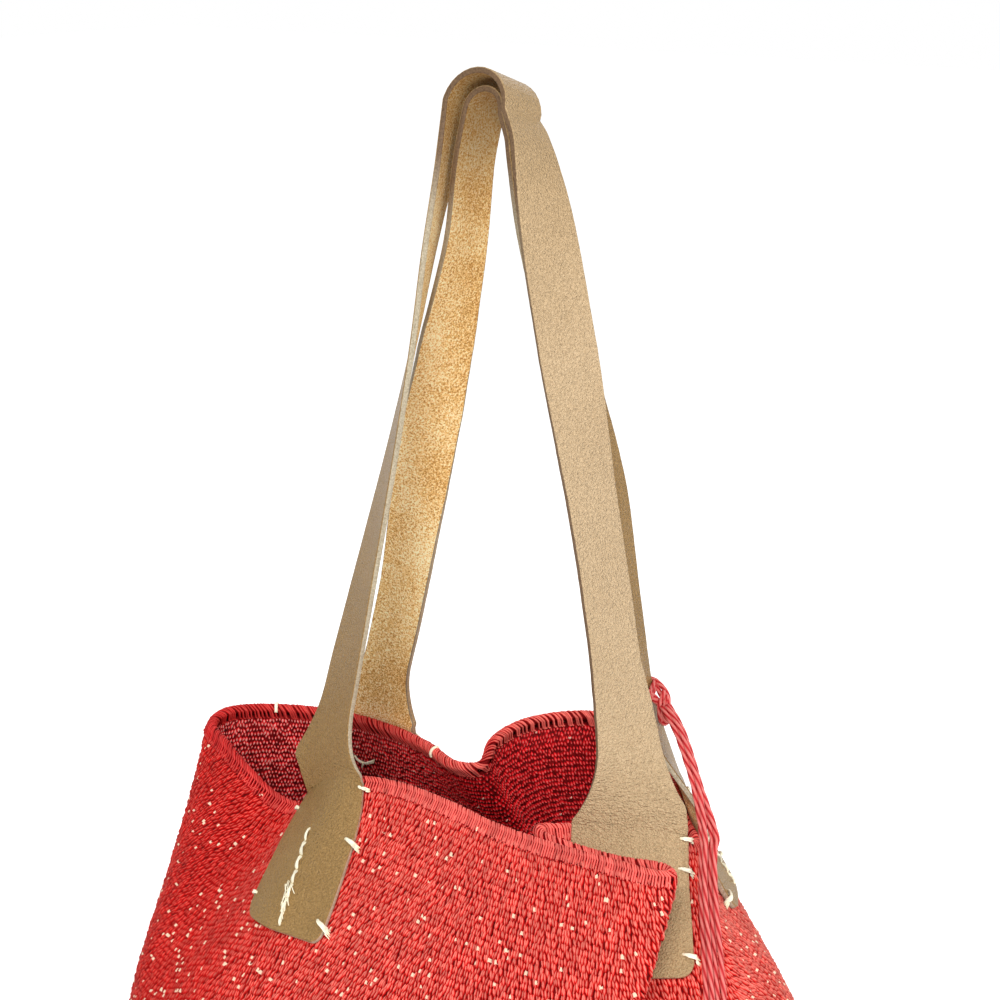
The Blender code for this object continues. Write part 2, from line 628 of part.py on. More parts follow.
def smooth_path(points, pitch):
    """Evenly spaced points along a smooth curve through the given ones."""
    points = np.array(points, float)
    run = np.concatenate([[0], np.cumsum(np.linalg.norm(np.diff(points, axis=0), axis=1))])
    keys = [[(a, p[k]) for a, p in zip(run, points)] for k in range(3)]
    fine = np.array([[smooth_keys(keys[k], a) for k in range(3)] for a in np.linspace(0, run[-1], 600)])
    along = np.concatenate([[0], np.cumsum(np.linalg.norm(np.diff(fine, axis=0), axis=1))])
    count = int(round(along[-1] / pitch)) + 1
    at = np.linspace(0, along[-1], count)
    return np.stack([np.interp(at, along, fine[:, k]) for k in range(3)], axis=1)


def yarn_strand(number, tie_leg, wall_leg):
    """Loose end of the tie: down the outside of the leg, over the edge and down against the wall."""
    pitch = 2 * YARN + GAP * 2
    pair, row = divmod(number, 2)
    stacked = (pair - 0.5) * pitch
    spread = (number - 1.5) * pitch
    points = []
    for up, across, away in YARN_WAY:
        lift = LEATHER / 2 + YARN + GAP * 2 + away + row * pitch
        points.append(tie_leg.skin(up, across + stacked, lift))
    for down in np.linspace(YARN_FALL[0][0], YARN_FALL[-1][0], YARN_STATIONS):
        downs, *ways = zip(*YARN_FALL)
        across, opened, away = [np.interp(down, downs, way) for way in ways]
        side = across + stacked + (spread - stacked) * opened
        lift = YARN + SEAT + away + row * pitch * (1 - opened**3)
        points.append(wall_leg.over(side, down, WALL / 2 + lift))
    path = smooth_path(points, YARN * 5)
    curve = bpy.data.curves.new("yarn_strand_%d" % (number + 1), "CURVE")
    curve.dimensions = "3D"
    curve.bevel_depth = YARN
    curve.bevel_resolution = 2
    curve.use_fill_caps = True
    spline = curve.splines.new("POLY")
    spline.points.add(len(path) - 1)
    for point, place in zip(spline.points, path):
        point.co = (*place, 1.0)
    curve.materials.append(material(curve.name, YARN_RED, 0.9))
    made = bpy.data.objects.new(curve.name, curve)
    bpy.context.scene.collection.objects.link(made)
    return made


def tie_knot(leg):
    """Yarn tied round the leg: a closed loop and its knot at the strap's near edge, made one."""
    middle, width, face = leg.at(TIE_HEIGHT)
    clear = GAP * 4 + YARN
    half, deep = STRAP_WIDTH / 2 + clear, LEATHER / 2 + clear
    path = []
    for corner in range(4):
        x, y = ((half, deep), (-half, deep), (-half, -deep), (half, -deep))[corner]
        for k in range(4):
            turn = corner * pi / 2 + k / 3 * pi / 2
            path.append(
                middle
                + width * (x - clear * np.sign(x) + clear * cos(turn))
                + face * (y - clear * np.sign(y) + clear * sin(turn))
            )
    loop = tube("yarn_tie", path, YARN, ROLL_SIDES, YARN_RED, closed=True)
    across = -STRAP_WIDTH / 2 + KNOT_INSET
    knot_at = middle + width * across + face * (LEATHER / 2 + KNOT_THICK + GAP * 2)
    knot = lump("tie_lump", knot_at, (KNOT_WIDE, KNOT_LONG, KNOT_THICK - GAP), face, YARN_RED)
    joined = loop.modifiers.new("knot", "BOOLEAN")
    joined.operation = "UNION"
    joined.solver = "EXACT"
    joined.object = knot
    knot.hide_render = True
    knot.display_type = "WIRE"
    return loop


def hinge_at(made, place):
    """Put a moving piece's origin on its joint's axis."""
    made.data.transform(Matrix.Translation(-Vector(place)))
    made.location = place


def build():
    for old in list(bpy.data.objects):
        bpy.data.objects.remove(old)
    woven_body()
    rolled_edge()
    legs = {name: Leg(name, *rest) for name, *rest in LEGS}
    for front, crown in (("front", OUTER_CROWN), ("back", INNER_CROWN)):
        left, right = legs[front + "_left"], legs[front + "_right"]
        axis = (left.at(0.0)[0] + right.at(0.0)[0]) / 2
        for made in (strap(front + "_strap", left, right, crown), neck(left), neck(right)):
            hinge_at(made, axis)
    for name, leg in legs.items():
        sewn_tab(leg)
        seam(leg)
        for number, (edge, left) in enumerate(WHIPS[name], 1):
            whip_stitch(leg, number, edge, left)
    thread_lump("seam_knot", legs["front_left"], SEAM_KNOT, SEAM_KNOT_SIZE, TAB_OFF + LEATHER, 1)
    thread_lump("inside_tuft", legs["back_left"], INSIDE_TUFT, INSIDE_TUFT_SIZE, -WALL / 2, -1)
    tie_leg = legs["back_right"]
    pivot = tie_leg.at(TIE_HEIGHT)[0]
    hinge_at(tie_knot(tie_leg), pivot)
    for number in range(YARN_STRANDS):
        hinge_at(yarn_strand(number, tie_leg, legs["front_right"]), pivot)


build()
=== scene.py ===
# Red hand-twined basket bag with two leather handles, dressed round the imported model.
# Metres, +Z up. Wall, leather and yarn follow the same rules as the model's own pieces.

from math import cos, pi, radians, sin

import bmesh
import bpy
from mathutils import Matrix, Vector
import numpy as np


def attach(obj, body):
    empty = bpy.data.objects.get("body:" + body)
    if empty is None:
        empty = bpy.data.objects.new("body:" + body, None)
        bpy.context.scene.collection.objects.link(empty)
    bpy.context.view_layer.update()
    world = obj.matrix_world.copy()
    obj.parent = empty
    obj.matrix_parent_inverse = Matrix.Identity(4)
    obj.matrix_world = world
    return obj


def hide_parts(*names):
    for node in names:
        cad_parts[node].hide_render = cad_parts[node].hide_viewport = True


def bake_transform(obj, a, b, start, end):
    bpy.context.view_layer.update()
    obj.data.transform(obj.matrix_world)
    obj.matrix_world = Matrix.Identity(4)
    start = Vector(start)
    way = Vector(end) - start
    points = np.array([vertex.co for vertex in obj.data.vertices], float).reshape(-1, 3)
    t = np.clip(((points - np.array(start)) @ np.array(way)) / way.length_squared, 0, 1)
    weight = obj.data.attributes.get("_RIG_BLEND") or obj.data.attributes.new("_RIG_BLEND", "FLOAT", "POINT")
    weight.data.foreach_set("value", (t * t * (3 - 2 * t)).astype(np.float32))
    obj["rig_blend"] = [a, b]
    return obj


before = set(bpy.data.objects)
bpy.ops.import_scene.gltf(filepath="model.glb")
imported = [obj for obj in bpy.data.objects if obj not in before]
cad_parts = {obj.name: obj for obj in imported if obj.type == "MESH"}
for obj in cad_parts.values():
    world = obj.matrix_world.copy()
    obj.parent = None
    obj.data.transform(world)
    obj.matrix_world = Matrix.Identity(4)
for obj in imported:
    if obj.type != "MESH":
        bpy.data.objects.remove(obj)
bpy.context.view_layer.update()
print("frame loaded")

view = dict(place=(0.5982, -0.7749, 0.7057), turn=36.8, down=14.75, lens=87.84, sensor=36.0)
camera = bpy.data.cameras.new("camera")
camera.lens = view["lens"]
camera.sensor_width = view["sensor"]
cameraObject = bpy.data.objects.new("camera", camera)
cameraObject.location = view["place"]
cameraObject.rotation_euler = (radians(90 - view["down"]), 0, radians(view["turn"]))
bpy.context.scene.collection.objects.link(cameraObject)
bpy.context.scene.camera = cameraObject
bpy.context.scene.view_settings.view_transform = "Standard"

# the wall's rule
basket = dict(
    rimHeight=0.320,  # level at which the handles bend
    bellyHalf=(0.176, 0.116),
    bellyDepth=0.190,
    baseShare=0.56,
    thick=0.0034,
    baseThick=0.0050,
    unfold=1.3,
    samples=1200,
    rollRadius=0.0023,
    rollSeat=0.0009,
    rollInset=0.0006,
)
# the mouth as it hangs: x, y, height over the rim level, direction at the belly, fold's depth
mouth = (
    (-0.150, 0.011, 0.002, 180, 0.150),
    (-0.147, -0.003, 0.000, 188, 0.150),
    (-0.131, -0.010, -0.004, 198, 0.150),
    (-0.112, -0.012, -0.0135, 209, 0.150),
    (-0.097, -0.0095, -0.0225, 217, 0.150),
    (-0.083, -0.0075, -0.023, 226, 0.150),
    (-0.066, -0.0115, -0.009, 236, 0.150),
    (-0.048, -0.017, 0.000, 246, 0.150),
    (-0.029, -0.0130, 0.001, 254, 0.150),
    (0.000, -0.014, 0.000, 264, 0.150),
    (0.030, -0.018, -0.002, 279, 0.150),
    (0.060, -0.021, -0.002, 293, 0.155),
    (0.089, -0.0225, -0.001, 303, 0.160),
    (0.111, -0.0220, -0.001, 309, 0.165),
    (0.1180, -0.0180, -0.001, 311, 0.168),
    (0.111, -0.0135, -0.001, 312.5, 0.171),
    (0.089, -0.0138, -0.003, 314.5, 0.176),
    (0.066, -0.0140, -0.003, 316, 0.180),
    (0.053, -0.0138, -0.002, 317.5, 0.181),
    (0.047, -0.0098, -0.001, 319.5, 0.181),
    (0.052, -0.0058, -0.001, 321.5, 0.178),
    (0.060, -0.0030, 0.000, 323.5, 0.176),
    (0.070, 0.0020, 0.000, 327, 0.173),
    (0.084, 0.0115, 0.000, 333, 0.169),
    (0.0935, 0.0185, -0.002, 339, 0.166),
    (0.0985, 0.0235, -0.005, 344, 0.163),
    (0.0988, 0.0280, -0.007, 349, 0.160),
    (0.0950, 0.0325, -0.006, 354, 0.157),
    (0.081, 0.0435, -0.001, 366, 0.152),
    (0.069, 0.0575, 0.000, 381, 0.150),
    (0.057, 0.071, 0.005, 397, 0.150),
    (0.040, 0.083, 0.012, 412, 0.150),
    (0.014, 0.081, 0.015, 427, 0.150),
    (-0.001, 0.070, 0.015, 437, 0.150),
    (-0.012, 0.053, 0.013, 446, 0.150),
    (-0.0165, 0.040, 0.008, 451, 0.150),
    (-0.015, 0.0305, 0.001, 455, 0.150),
    (-0.026, 0.0275, -0.001, 459, 0.150),
    (-0.050, 0.037, 0.000, 470, 0.150),
    (-0.080, 0.0445, 0.000, 485, 0.150),
    (-0.110, 0.042, 0.001, 502, 0.150),
    (-0.138, 0.027, 0.002, 521, 0.150),
)


def roundMouth(rows, count):
    rows = np.array(rows, float)
    turn = np.array([0, 0, 0, 360, 0])
    ring = np.vstack([rows[-1:] - turn, rows, rows[:1] + turn, rows[1:2] + turn])
    fine = []
    for i in range(1, len(ring) - 2):
        p0, p1, p2, p3 = ring[i - 1 : i + 3]
        pairs = ((p0, p1), (p1, p2), (p2, p3))
        gaps = [max(np.linalg.norm(b[:2] - a[:2]) ** 0.5, 1e-6) for a, b in pairs]
        m1 = (p1 - p0) / gaps[0] - (p2 - p0) / (gaps[0] + gaps[1]) + (p2 - p1) / gaps[1]
        m2 = (p2 - p1) / gaps[1] - (p3 - p1) / (gaps[1] + gaps[2]) + (p3 - p2) / gaps[2]
        t = np.linspace(0, 1, 60, endpoint=False)[:, None]
        fine.append(
            (2 * t**3 - 3 * t**2 + 1) * p1
            + (t**3 - 2 * t**2 + t) * m1 * gaps[1]
            + (3 * t**2 - 2 * t**3) * p2
            + (t**3 - t**2) * m2 * gaps[1]
        )
    fine = np.vstack(fine + [ring[-2:-1]])
    along = np.concatenate([[0], np.cumsum(np.linalg.norm(np.diff(fine[:, :2], axis=0), axis=1))])
    at = np.linspace(0, along[-1], count + 1)
    return np.stack([np.interp(at, along, fine[:, k]) for k in range(5)], axis=1), along[-1]


loop, mouthLength = roundMouth(mouth, basket["samples"])


def strandAt(share):
    share = np.asarray(share, float)
    at = (share % 1.0) * basket["samples"]
    row = np.stack([np.interp(at, np.arange(len(loop)), loop[:, k]) for k in range(5)], axis=-1)
    row[..., 3] += 360 * np.floor(share)
    return row


def opened(depth, whole):
    return np.sin(np.clip(depth / whole, 0, 1) * pi / 2) ** basket["unfold"]


def edgeDepth(share):
    return 2 * basket["rollRadius"] + basket["rollSeat"] - strandAt(share)[..., 2]


def wallMiddle(share, depth):
    row = strandAt(share)
    depth = np.asarray(depth, float)
    start = opened(-row[..., 2], row[..., 4])
    weight = np.maximum((opened(depth, row[..., 4]) - start) / (1 - start), 0)
    lowest = basket["rimHeight"] - basket["bellyDepth"]
    below = np.clip((depth - basket["bellyDepth"]) / lowest, 0, 1)
    shrink = basket["baseShare"] + (1 - basket["baseShare"]) * np.sqrt(1 - below**2)
    angle = np.radians(row[..., 3])
    x = (1 - weight) * row[..., 0] + weight * basket["bellyHalf"][0] * np.cos(angle) * shrink
    y = (1 - weight) * row[..., 1] + weight * basket["bellyHalf"][1] * np.sin(angle) * shrink
    return np.stack([x, y, basket["rimHeight"] - depth + 0 * x], axis=-1)


def unit(v):
    return v / np.maximum(np.linalg.norm(v, axis=-1, keepdims=True), 1e-12)


def wallNormal(share, depth):
    step, drop = 0.0006, 0.0008
    depth = np.asarray(depth, float)
    along = wallMiddle(share + step, depth) - wallMiddle(share - step, depth)
    down = wallMiddle(share, depth + drop) - wallMiddle(share, depth - drop)
    return unit(np.cross(down, along))


def shareNear(x, y):
    return float(np.argmin(np.hypot(loop[:-1, 0] - x, loop[:-1, 1] - y))) / basket["samples"]


# the leather's rule
leather = dict(
    thick=0.0025,
    strapWidth=0.025,
    tabWidth=0.046,
    tabCorner=0.006,
    neckLength=0.037,
    neckFlat=0.003,
    neckPower=2.2,
    seat=0.0007,
    crownHeight=0.6225,
    crownLean=radians(18),
    crownPlace=(0.011, 0.007),
    outerCrown=(0.0147, -0.003),  # radius, and slide along the leather's width
    innerCrown=(0.0087, 0.003),
    crownArm=0.12,
    footArm=0.30,
    footTurn=0.3,
    leanShare=0.25,
    hangStep=0.006,
    slopeDepths=(0.004, 0.060),
    samples=240,
    reach=0.09,
)
tabOff = basket["thick"] / 2 + leather["seat"]  # inner face of a tab, from the middle of the wall
# each leg: its tab's place on the mouth, side, directions of its width from the crown down,
# bow of its middle, sideways run of the tab, and length of the tab
legShapes = dict(
    frontLeft=dict(
        place=(-0.0645, -0.012), side=-1, crown="outerCrown", drift=0.40, tab=0.075,
        turns=((0.0, 90), (0.12, 108), (0.28, 118), (0.42, 126), (0.56, 135), (0.71, 146), (0.85, 156)),
        bow=((0, 0.0, 0), (0.12, -0.0004, -0.0021), (0.27, 0.0020, -0.0043), (0.42, 0.0041, -0.0029),
             (0.57, 0.0043, -0.0012), (0.73, 0.003, 0), (0.87, 0.0016, 0), (1, 0.0, 0)),
    ),
    frontRight=dict(
        place=(0.0795, 0.0077), side=1, crown="outerCrown", drift=-0.09, tab=0.065,
        turns=((0.0, 90), (0.08, 89), (0.21, 71), (0.4, 59), (0.6, 76), (0.84, 68)),
        bow=((0, 0.0, 0), (0.06, 0.0049, 0), (0.14, 0.0081, 0), (0.25, 0.0104, 0), (0.42, 0.0111, 0),
             (0.56, 0.0099, 0), (0.69, 0.0081, 0), (0.8, 0.0056, 0), (1, 0.0, 0)),
    ),
    backLeft=dict(
        place=(-0.088, 0.0445), side=-1, crown="innerCrown", drift=0.0, tab=0.068,
        turns=((0.0, 90), (0.15, 88), (0.28, 83), (0.42, 62), (0.56, 31), (0.74, 1)),
        bow=((0, 0.0, 0), (0.13, 0.0003, 0), (0.27, 0.0032, 0.0009), (0.42, 0.0038, 0.0004),
             (0.6, 0.004, 0), (0.77, 0.0043, 0), (0.9, 0.0015, 0), (1, 0.0, 0)),
    ),
    backRight=dict(
        place=(0.0795, 0.045), side=1, crown="innerCrown", drift=0.45, tab=0.056,
        turns=((0.0, 90), (0.25, 84), (0.5, 81), (0.78, 96)),
        bow=((0, 0.0, 0), (0.08, 0.005, 0), (0.25, 0.005, 0), (0.42, 0.004, 0), (0.57, 0.003, 0),
             (0.72, -0.0054, 0), (0.86, -0.0095, 0), (1, 0.0, 0)),
    ),
)


def crownFrame(radius, angle, shift):
    lean = leather["crownLean"]
    width = np.array([0.0, cos(lean), -sin(lean)])
    rise = np.array([0.0, sin(lean), cos(lean)])
    top = leather["crownHeight"] - leather["outerCrown"][0] - leather["thick"] / 2
    centre = np.array([*leather["crownPlace"], top])
    face = cos(angle) * np.array([1.0, 0.0, 0.0]) + sin(angle) * rise
    return centre + width * shift + radius * face, width, face


def throughKeys(keys, at):
    i = int(np.clip(np.searchsorted([k[0] for k in keys], at) - 1, 0, len(keys) - 2))
    k0, k1 = keys[max(i - 1, 0)], keys[i]
    k2, k3 = keys[i + 1], keys[min(i + 2, len(keys) - 1)]
    span = k2[0] - k1[0]
    t = (at - k1[0]) / span
    m1 = (k2[1] - k0[1]) / (k2[0] - k0[0]) * span
    m2 = (k3[1] - k1[1]) / (k3[0] - k1[0]) * span
    start = (2 * t**3 - 3 * t**2 + 1) * k1[1] + (t**3 - 2 * t**2 + t) * m1
    return start + (3 * t**2 - 2 * t**3) * k2[1] + (t**3 - t**2) * m2


class Leg:
    def __init__(self, shape):
        self.share = shareNear(*shape["place"])
        self.side, self.drift, self.tab = shape["side"], shape["drift"], shape["tab"]
        high, low = [wallMiddle(self.share, depth) for depth in leather["slopeDepths"]]
        self.slope = (high[2] - low[2]) / np.linalg.norm(high - low)
        self.middleOff = tabOff + leather["thick"] / 2
        radius, shift = leather[shape["crown"]]
        start = crownFrame(radius, 0.0 if self.side > 0 else pi, shift)[0]
        foot = self.over(0.0, 0.0, self.middleOff)
        edge = (self.over(0.01, 0.0, tabOff) - self.over(-0.01, 0.0, tabOff)) * self.side
        last = np.degrees(np.arctan2(edge[1], edge[0]))
        last += 360 * round((shape["turns"][-1][1] - last) / 360)
        self.keys = list(shape["turns"]) + [(1.0, last)]
        self.trace(start, foot, shape["bow"])

    # point over the wall: across the tab, down from the hinge, off the wall's middle
    def over(self, across, down, off):
        depth = down * self.slope
        reach = self.share + np.linspace(-leather["reach"], leather["reach"], 121)
        run = np.linalg.norm(np.diff(wallMiddle(reach, depth), axis=0), axis=1)
        run = np.concatenate([[0], np.cumsum(run)])
        share = np.interp(across + self.drift * down + np.interp(self.share, reach, run), run, reach)
        return wallMiddle(share, depth) + wallNormal(share, depth) * np.asarray(off)[..., None]

    def trace(self, start, foot, bow):
        chord = foot - start
        straight = unit(chord)
        step = leather["hangStep"]
        hang = self.over(-self.drift * step, step, tabOff) - self.over(0.0, 0.0, tabOff)
        lean = leather["crownLean"]
        first = np.array([0.0, -sin(lean), -cos(lean)])
        last = straight * (1 - leather["footTurn"]) + unit(hang) * leather["footTurn"]
        reach = np.linalg.norm(chord)
        a = start + first * reach * leather["crownArm"]
        b = foot - last * reach * leather["footArm"]
        s = np.linspace(0, 1, leather["samples"])[:, None]
        path = (1 - s) ** 3 * start + 3 * (1 - s) ** 2 * s * a + 3 * (1 - s) * s**2 * b + s**3 * foot
        for axis in (0, 1):
            keys = [(key[0], key[1 + axis]) for key in bow]
            path[:, axis] += [throughKeys(keys, share) for share in s[:, 0]]
        tangents = unit(np.gradient(path, axis=0))
        widths = []
        for share in s[:, 0]:
            turn = radians(throughKeys(self.keys, share))
            tip = lean * max(0.0, 1 - share / leather["leanShare"]) ** 2
            widths.append([cos(turn) * cos(tip), sin(turn) * cos(tip), -sin(tip)])
        widths = np.array(widths)
        widths = unit(widths - tangents * (widths * tangents).sum(1)[:, None])
        self.path, self.widths = path, widths
        self.faces = -self.side * np.cross(widths, tangents)
        steps = np.linalg.norm(np.diff(path, axis=0), axis=1)
        self.up = np.concatenate([np.cumsum(steps[::-1])[::-1], [0.0]])
        self.length = self.up[0]

    def at(self, up):
        found = [
            np.array([np.interp(up, self.up[::-1], row[::-1, k]) for k in range(3)])
            for row in (self.path, self.widths, self.faces)
        ]
        return found[0], unit(found[1]), unit(found[2])

    # point off the middle of the neck: it follows the wall at the hinge and is flat higher up
    def skin(self, up, across, off):
        middle, width, face = self.at(up)
        across, off = np.asarray(across, float), np.asarray(off, float)
        flat = middle + width * across[..., None] + face * off[..., None]
        curl = max(1 - up / leather["neckLength"], 0.0) ** 2
        if curl == 0:
            return flat
        bent = middle - self.at(0.0)[0] + self.over(across * self.side, 0.0, self.middleOff + off)
        return flat * (1 - curl) + bent * curl


legs = {name: Leg(shape) for name, shape in legShapes.items()}
print("wall and legs laid out")


# adds a node, sets its options and feeds its inputs with sockets or values
def addNode(tree, kind, feeds=None, **options):
    node = tree.nodes.new(kind)
    for name, value in options.items():
        setattr(node, name, value)
    for key, value in (feeds or {}).items():
        if isinstance(value, bpy.types.NodeSocket):
            tree.links.new(value, node.inputs[key])
        else:
            node.inputs[key].default_value = value
    return node


def maths(tree, operation, *values):
    return addNode(tree, "ShaderNodeMath", dict(enumerate(values)), operation=operation).outputs[0]


def newTree(name, kind, inputs, outputs):
    tree = bpy.data.node_groups.new(name, kind)
    for title, socket, value in inputs:
        made = tree.interface.new_socket(title, in_out="INPUT", socket_type="NodeSocket" + socket)
        if value is not None:
            made.default_value = value
    for title, socket in outputs:
        tree.interface.new_socket(title, in_out="OUTPUT", socket_type="NodeSocket" + socket)
    return tree, tree.nodes.new("NodeGroupInput").outputs, tree.nodes.new("NodeGroupOutput").inputs


def addMesh(name, points, faces, attributes=None, edges=()):
    mesh = bpy.data.meshes.new(name)
    mesh.from_pydata(np.asarray(points, float).tolist(), list(edges), faces)
    for title, values in (attributes or {}).items():
        values = np.asarray(values, np.float32)
        kind = "FLOAT" if values.ndim == 1 else "FLOAT_VECTOR"
        made = mesh.attributes.new(title, kind, "POINT")
        made.data.foreach_set("value" if values.ndim == 1 else "vector", values.ravel())
    return mesh


def addObject(name, mesh):
    made = bpy.data.objects.new(name, mesh)
    bpy.context.scene.collection.objects.link(made)
    return made


# runs a geometry tree on a mesh and keeps the outcome as a plain mesh
def grown(name, mesh, tree, values, keep):
    made = addObject(name, mesh)
    modifier = made.modifiers.new(tree.name, "NODES")
    modifier.node_group = tree
    sockets = {item.name: item.identifier for item in tree.interface.items_tree if item.in_out == "INPUT"}
    for title, value in values.items():
        modifier[sockets[title]] = value
    ready = made.evaluated_get(bpy.context.evaluated_depsgraph_get())
    plain = bpy.data.meshes.new_from_object(ready)
    made.modifiers.clear()
    made.data = plain
    plain.name = name
    bpy.data.meshes.remove(mesh)
    for title in [a.name for a in plain.attributes if not a.is_internal and not a.is_required]:
        if title not in keep and title in plain.attributes:
            if title not in ("sharp_face", "sharp_edge", "material_index", "UVMap"):
                plain.attributes.remove(plain.attributes[title])
    return made


# how strongly each size of a grain takes the unevenness
grainSpread = (("Width", 0.9), ("Length", 0.7), ("Height", 1.2))


# turns of strand laid on places, each along its own directions
def grainTree():
    inputs = (
        ("Places", "Geometry", None), ("Grain", "Object", None), ("Width", "Float", 0.0018),
        ("Length", "Float", 0.0036), ("Height", "Float", 0.001), ("Lean", "Float", 0.0),
        ("Cross lean", "Float", 0.0), ("Unevenness", "Float", 0.1), ("Seed", "Int", 1),
        ("Yarn", "Material", None),
    )
    tree, given, result = newTree("layGrains", "GeometryNodeTree", inputs, [("Woven", "Geometry")])

    def named(title, kind):
        node = addNode(tree, "GeometryNodeInputNamedAttribute", {"Name": title}, data_type=kind)
        return node.outputs["Attribute"]

    def uneven(offset):
        seed = maths(tree, "ADD", given["Seed"], offset)
        node = addNode(tree, "FunctionNodeRandomValue", {2: -1.0, 3: 1.0, "Seed": seed})
        return maths(tree, "MULTIPLY", node.outputs[1], given["Unevenness"])

    def sized(socket, offset, share):
        change = maths(tree, "MULTIPLY_ADD", uneven(offset), share, 1.0)
        return maths(tree, "MULTIPLY", socket, maths(tree, "MULTIPLY", change, named("big", "FLOAT")))

    lean = maths(tree, "MULTIPLY_ADD", given["Cross lean"], named("pair", "FLOAT"), given["Lean"])
    lean = maths(tree, "ADD", lean, uneven(0))
    out, down = named("out", "FLOAT_VECTOR"), named("down", "FLOAT_VECTOR")
    feeds = {"Vector": down, "Axis": out, "Angle": lean}
    turned = addNode(tree, "ShaderNodeVectorRotate", feeds, rotation_type="AXIS_ANGLE")
    feeds = {"Primary Axis": out, "Secondary Axis": turned.outputs[0]}
    axes = addNode(tree, "FunctionNodeAxesToRotation", feeds, primary_axis="Z", secondary_axis="Y")
    feeds = {k: sized(given[title], k + 1, share) for k, (title, share) in enumerate(grainSpread)}
    scale = addNode(tree, "ShaderNodeCombineXYZ", feeds)
    grain = addNode(tree, "GeometryNodeObjectInfo", {"Object": given["Grain"]})
    feeds = {
        "Points": given["Places"], "Instance": grain.outputs["Geometry"],
        "Rotation": axes.outputs[0], "Scale": scale.outputs[0],
    }
    laid = addNode(tree, "GeometryNodeInstanceOnPoints", feeds)
    tint = addNode(tree, "FunctionNodeRandomValue", {"Seed": maths(tree, "ADD", given["Seed"], 9)})
    feeds = {"Geometry": laid.outputs[0], "Name": "tint", "Value": tint.outputs[1]}
    stored = addNode(tree, "GeometryNodeStoreNamedAttribute", feeds, domain="INSTANCE")
    real = addNode(tree, "GeometryNodeRealizeInstances", {0: stored.outputs[0]})
    feeds = {"Geometry": real.outputs[0], "Material": given["Yarn"]}
    tree.links.new(addNode(tree, "GeometryNodeSetMaterial", feeds).outputs[0], result[0])
    return tree


def threadTree():
    inputs = (("Paths", "Geometry", None), ("Sides", "Int", 6), ("Yarn", "Material", None))
    tree, given, result = newTree("spinThread", "GeometryNodeTree", inputs, [("Thread", "Geometry")])
    curve = addNode(tree, "GeometryNodeMeshToCurve", {"Mesh": given["Paths"]})
    ring = addNode(tree, "GeometryNodeCurvePrimitiveCircle", {"Resolution": given["Sides"], "Radius": 1.0})
    thick = addNode(tree, "GeometryNodeInputNamedAttribute", {"Name": "thick"}, data_type="FLOAT")
    feeds = {
        "Curve": curve.outputs[0], "Profile Curve": ring.outputs[0],
        "Scale": thick.outputs[0], "Fill Caps": True,
    }
    tube = addNode(tree, "GeometryNodeCurveToMesh", feeds)
    real = addNode(tree, "GeometryNodeRealizeInstances", {0: tube.outputs[0]})
    feeds = {"Geometry": real.outputs[0], "Material": given["Yarn"]}
    tree.links.new(addNode(tree, "GeometryNodeSetMaterial", feeds).outputs[0], result[0])
    return tree


layGrains = grainTree()
spinThread = threadTree()


# polylines with a thickness at each point, spun into round threads
def threads(name, paths, material, sides=6, faces=None):
    points, edges, thick, tint, run, crest = [], [], [], [], [], []
    chance = np.random.default_rng(7)
    for path, radii in paths:
        first = len(points)
        points += [tuple(p) for p in path]
        edges += [(first + i, first + i + 1) for i in range(len(path) - 1)]
        thick += list(np.broadcast_to(radii, len(path)))
        tint += [chance.random()] * len(path)
        lengths = np.linalg.norm(np.diff(np.array(path), axis=0), axis=1)
        run += list(np.concatenate([[0], np.cumsum(lengths)]))
        crest += [0.6] + [1.0] * (len(path) - 2) + [0.6]
    data = dict(thick=thick, tint=tint, run=run, crest=crest, face=points if faces is None else faces)
    mesh = addMesh(name, points, [], data, edges)
    values = {"Sides": sides, "Yarn": material}
    made = grown(name, mesh, spinThread, values, ("tint", "run", "crest", "face"))
    if faces is not None:
        crestOutwards(made.data, sides)
    made.data.attributes.remove(made.data.attributes["face"])
    made.data.shade_smooth()
    return made


# painted highlight along the side of each thread that faces out, painted shade where it meets its neighbours
# and towards the left end
def crestOutwards(mesh, sides):
    place, face = np.empty(len(mesh.vertices) * 3), np.empty(len(mesh.vertices) * 3)
    mesh.vertices.foreach_get("co", place)
    mesh.attributes["face"].data.foreach_get("vector", face)
    rings = place.reshape(-1, sides, 3)
    away = unit(rings - rings.mean(axis=1, keepdims=True))
    shown = (away * unit(face.reshape(-1, sides, 3))).sum(-1)
    # painted shade: crests dimmer towards the left end
    shown *= np.interp(rings[..., 0], *zip(*edge["leftShade"]))
    crest = np.clip(shown, 0.0, 1.0) ** edge["crestPower"]
    mesh.attributes["crest"].data.foreach_set("value", crest.ravel().astype(np.float32))


def srgb(r, g, b):
    parts = [c / 255 for c in (r, g, b)]
    return tuple(c / 12.92 if c <= 0.04045 else ((c + 0.055) / 1.055) ** 2.4 for c in parts) + (1.0,)


# wisps and strands of spun fibre: a height for bump and a mask for colour
def fibreGroup():
    inputs = (("Scale", "Float", 900.0), ("Detail", "Float", 3.0))
    outputs = [("Height", "Float"), ("Mask", "Float")]
    tree, given, result = newTree("spunFibre", "ShaderNodeTree", inputs, outputs)
    place = addNode(tree, "ShaderNodeTexCoord").outputs["Object"]
    feeds = {"Vector": place, "Scale": given["Scale"], "Detail": given["Detail"], "Roughness": 0.65}
    fine = addNode(tree, "ShaderNodeTexNoise", feeds)
    wide = addNode(tree, "ShaderNodeTexNoise", {"Vector": place, "Scale": 45.0, "Detail": 4.0})
    tree.links.new(fine.outputs[0], result["Height"])
    both = maths(tree, "MULTIPLY_ADD", fine.outputs[0], 0.5, maths(tree, "MULTIPLY", wide.outputs[0], 0.5))
    tree.links.new(both, result["Mask"])
    return tree


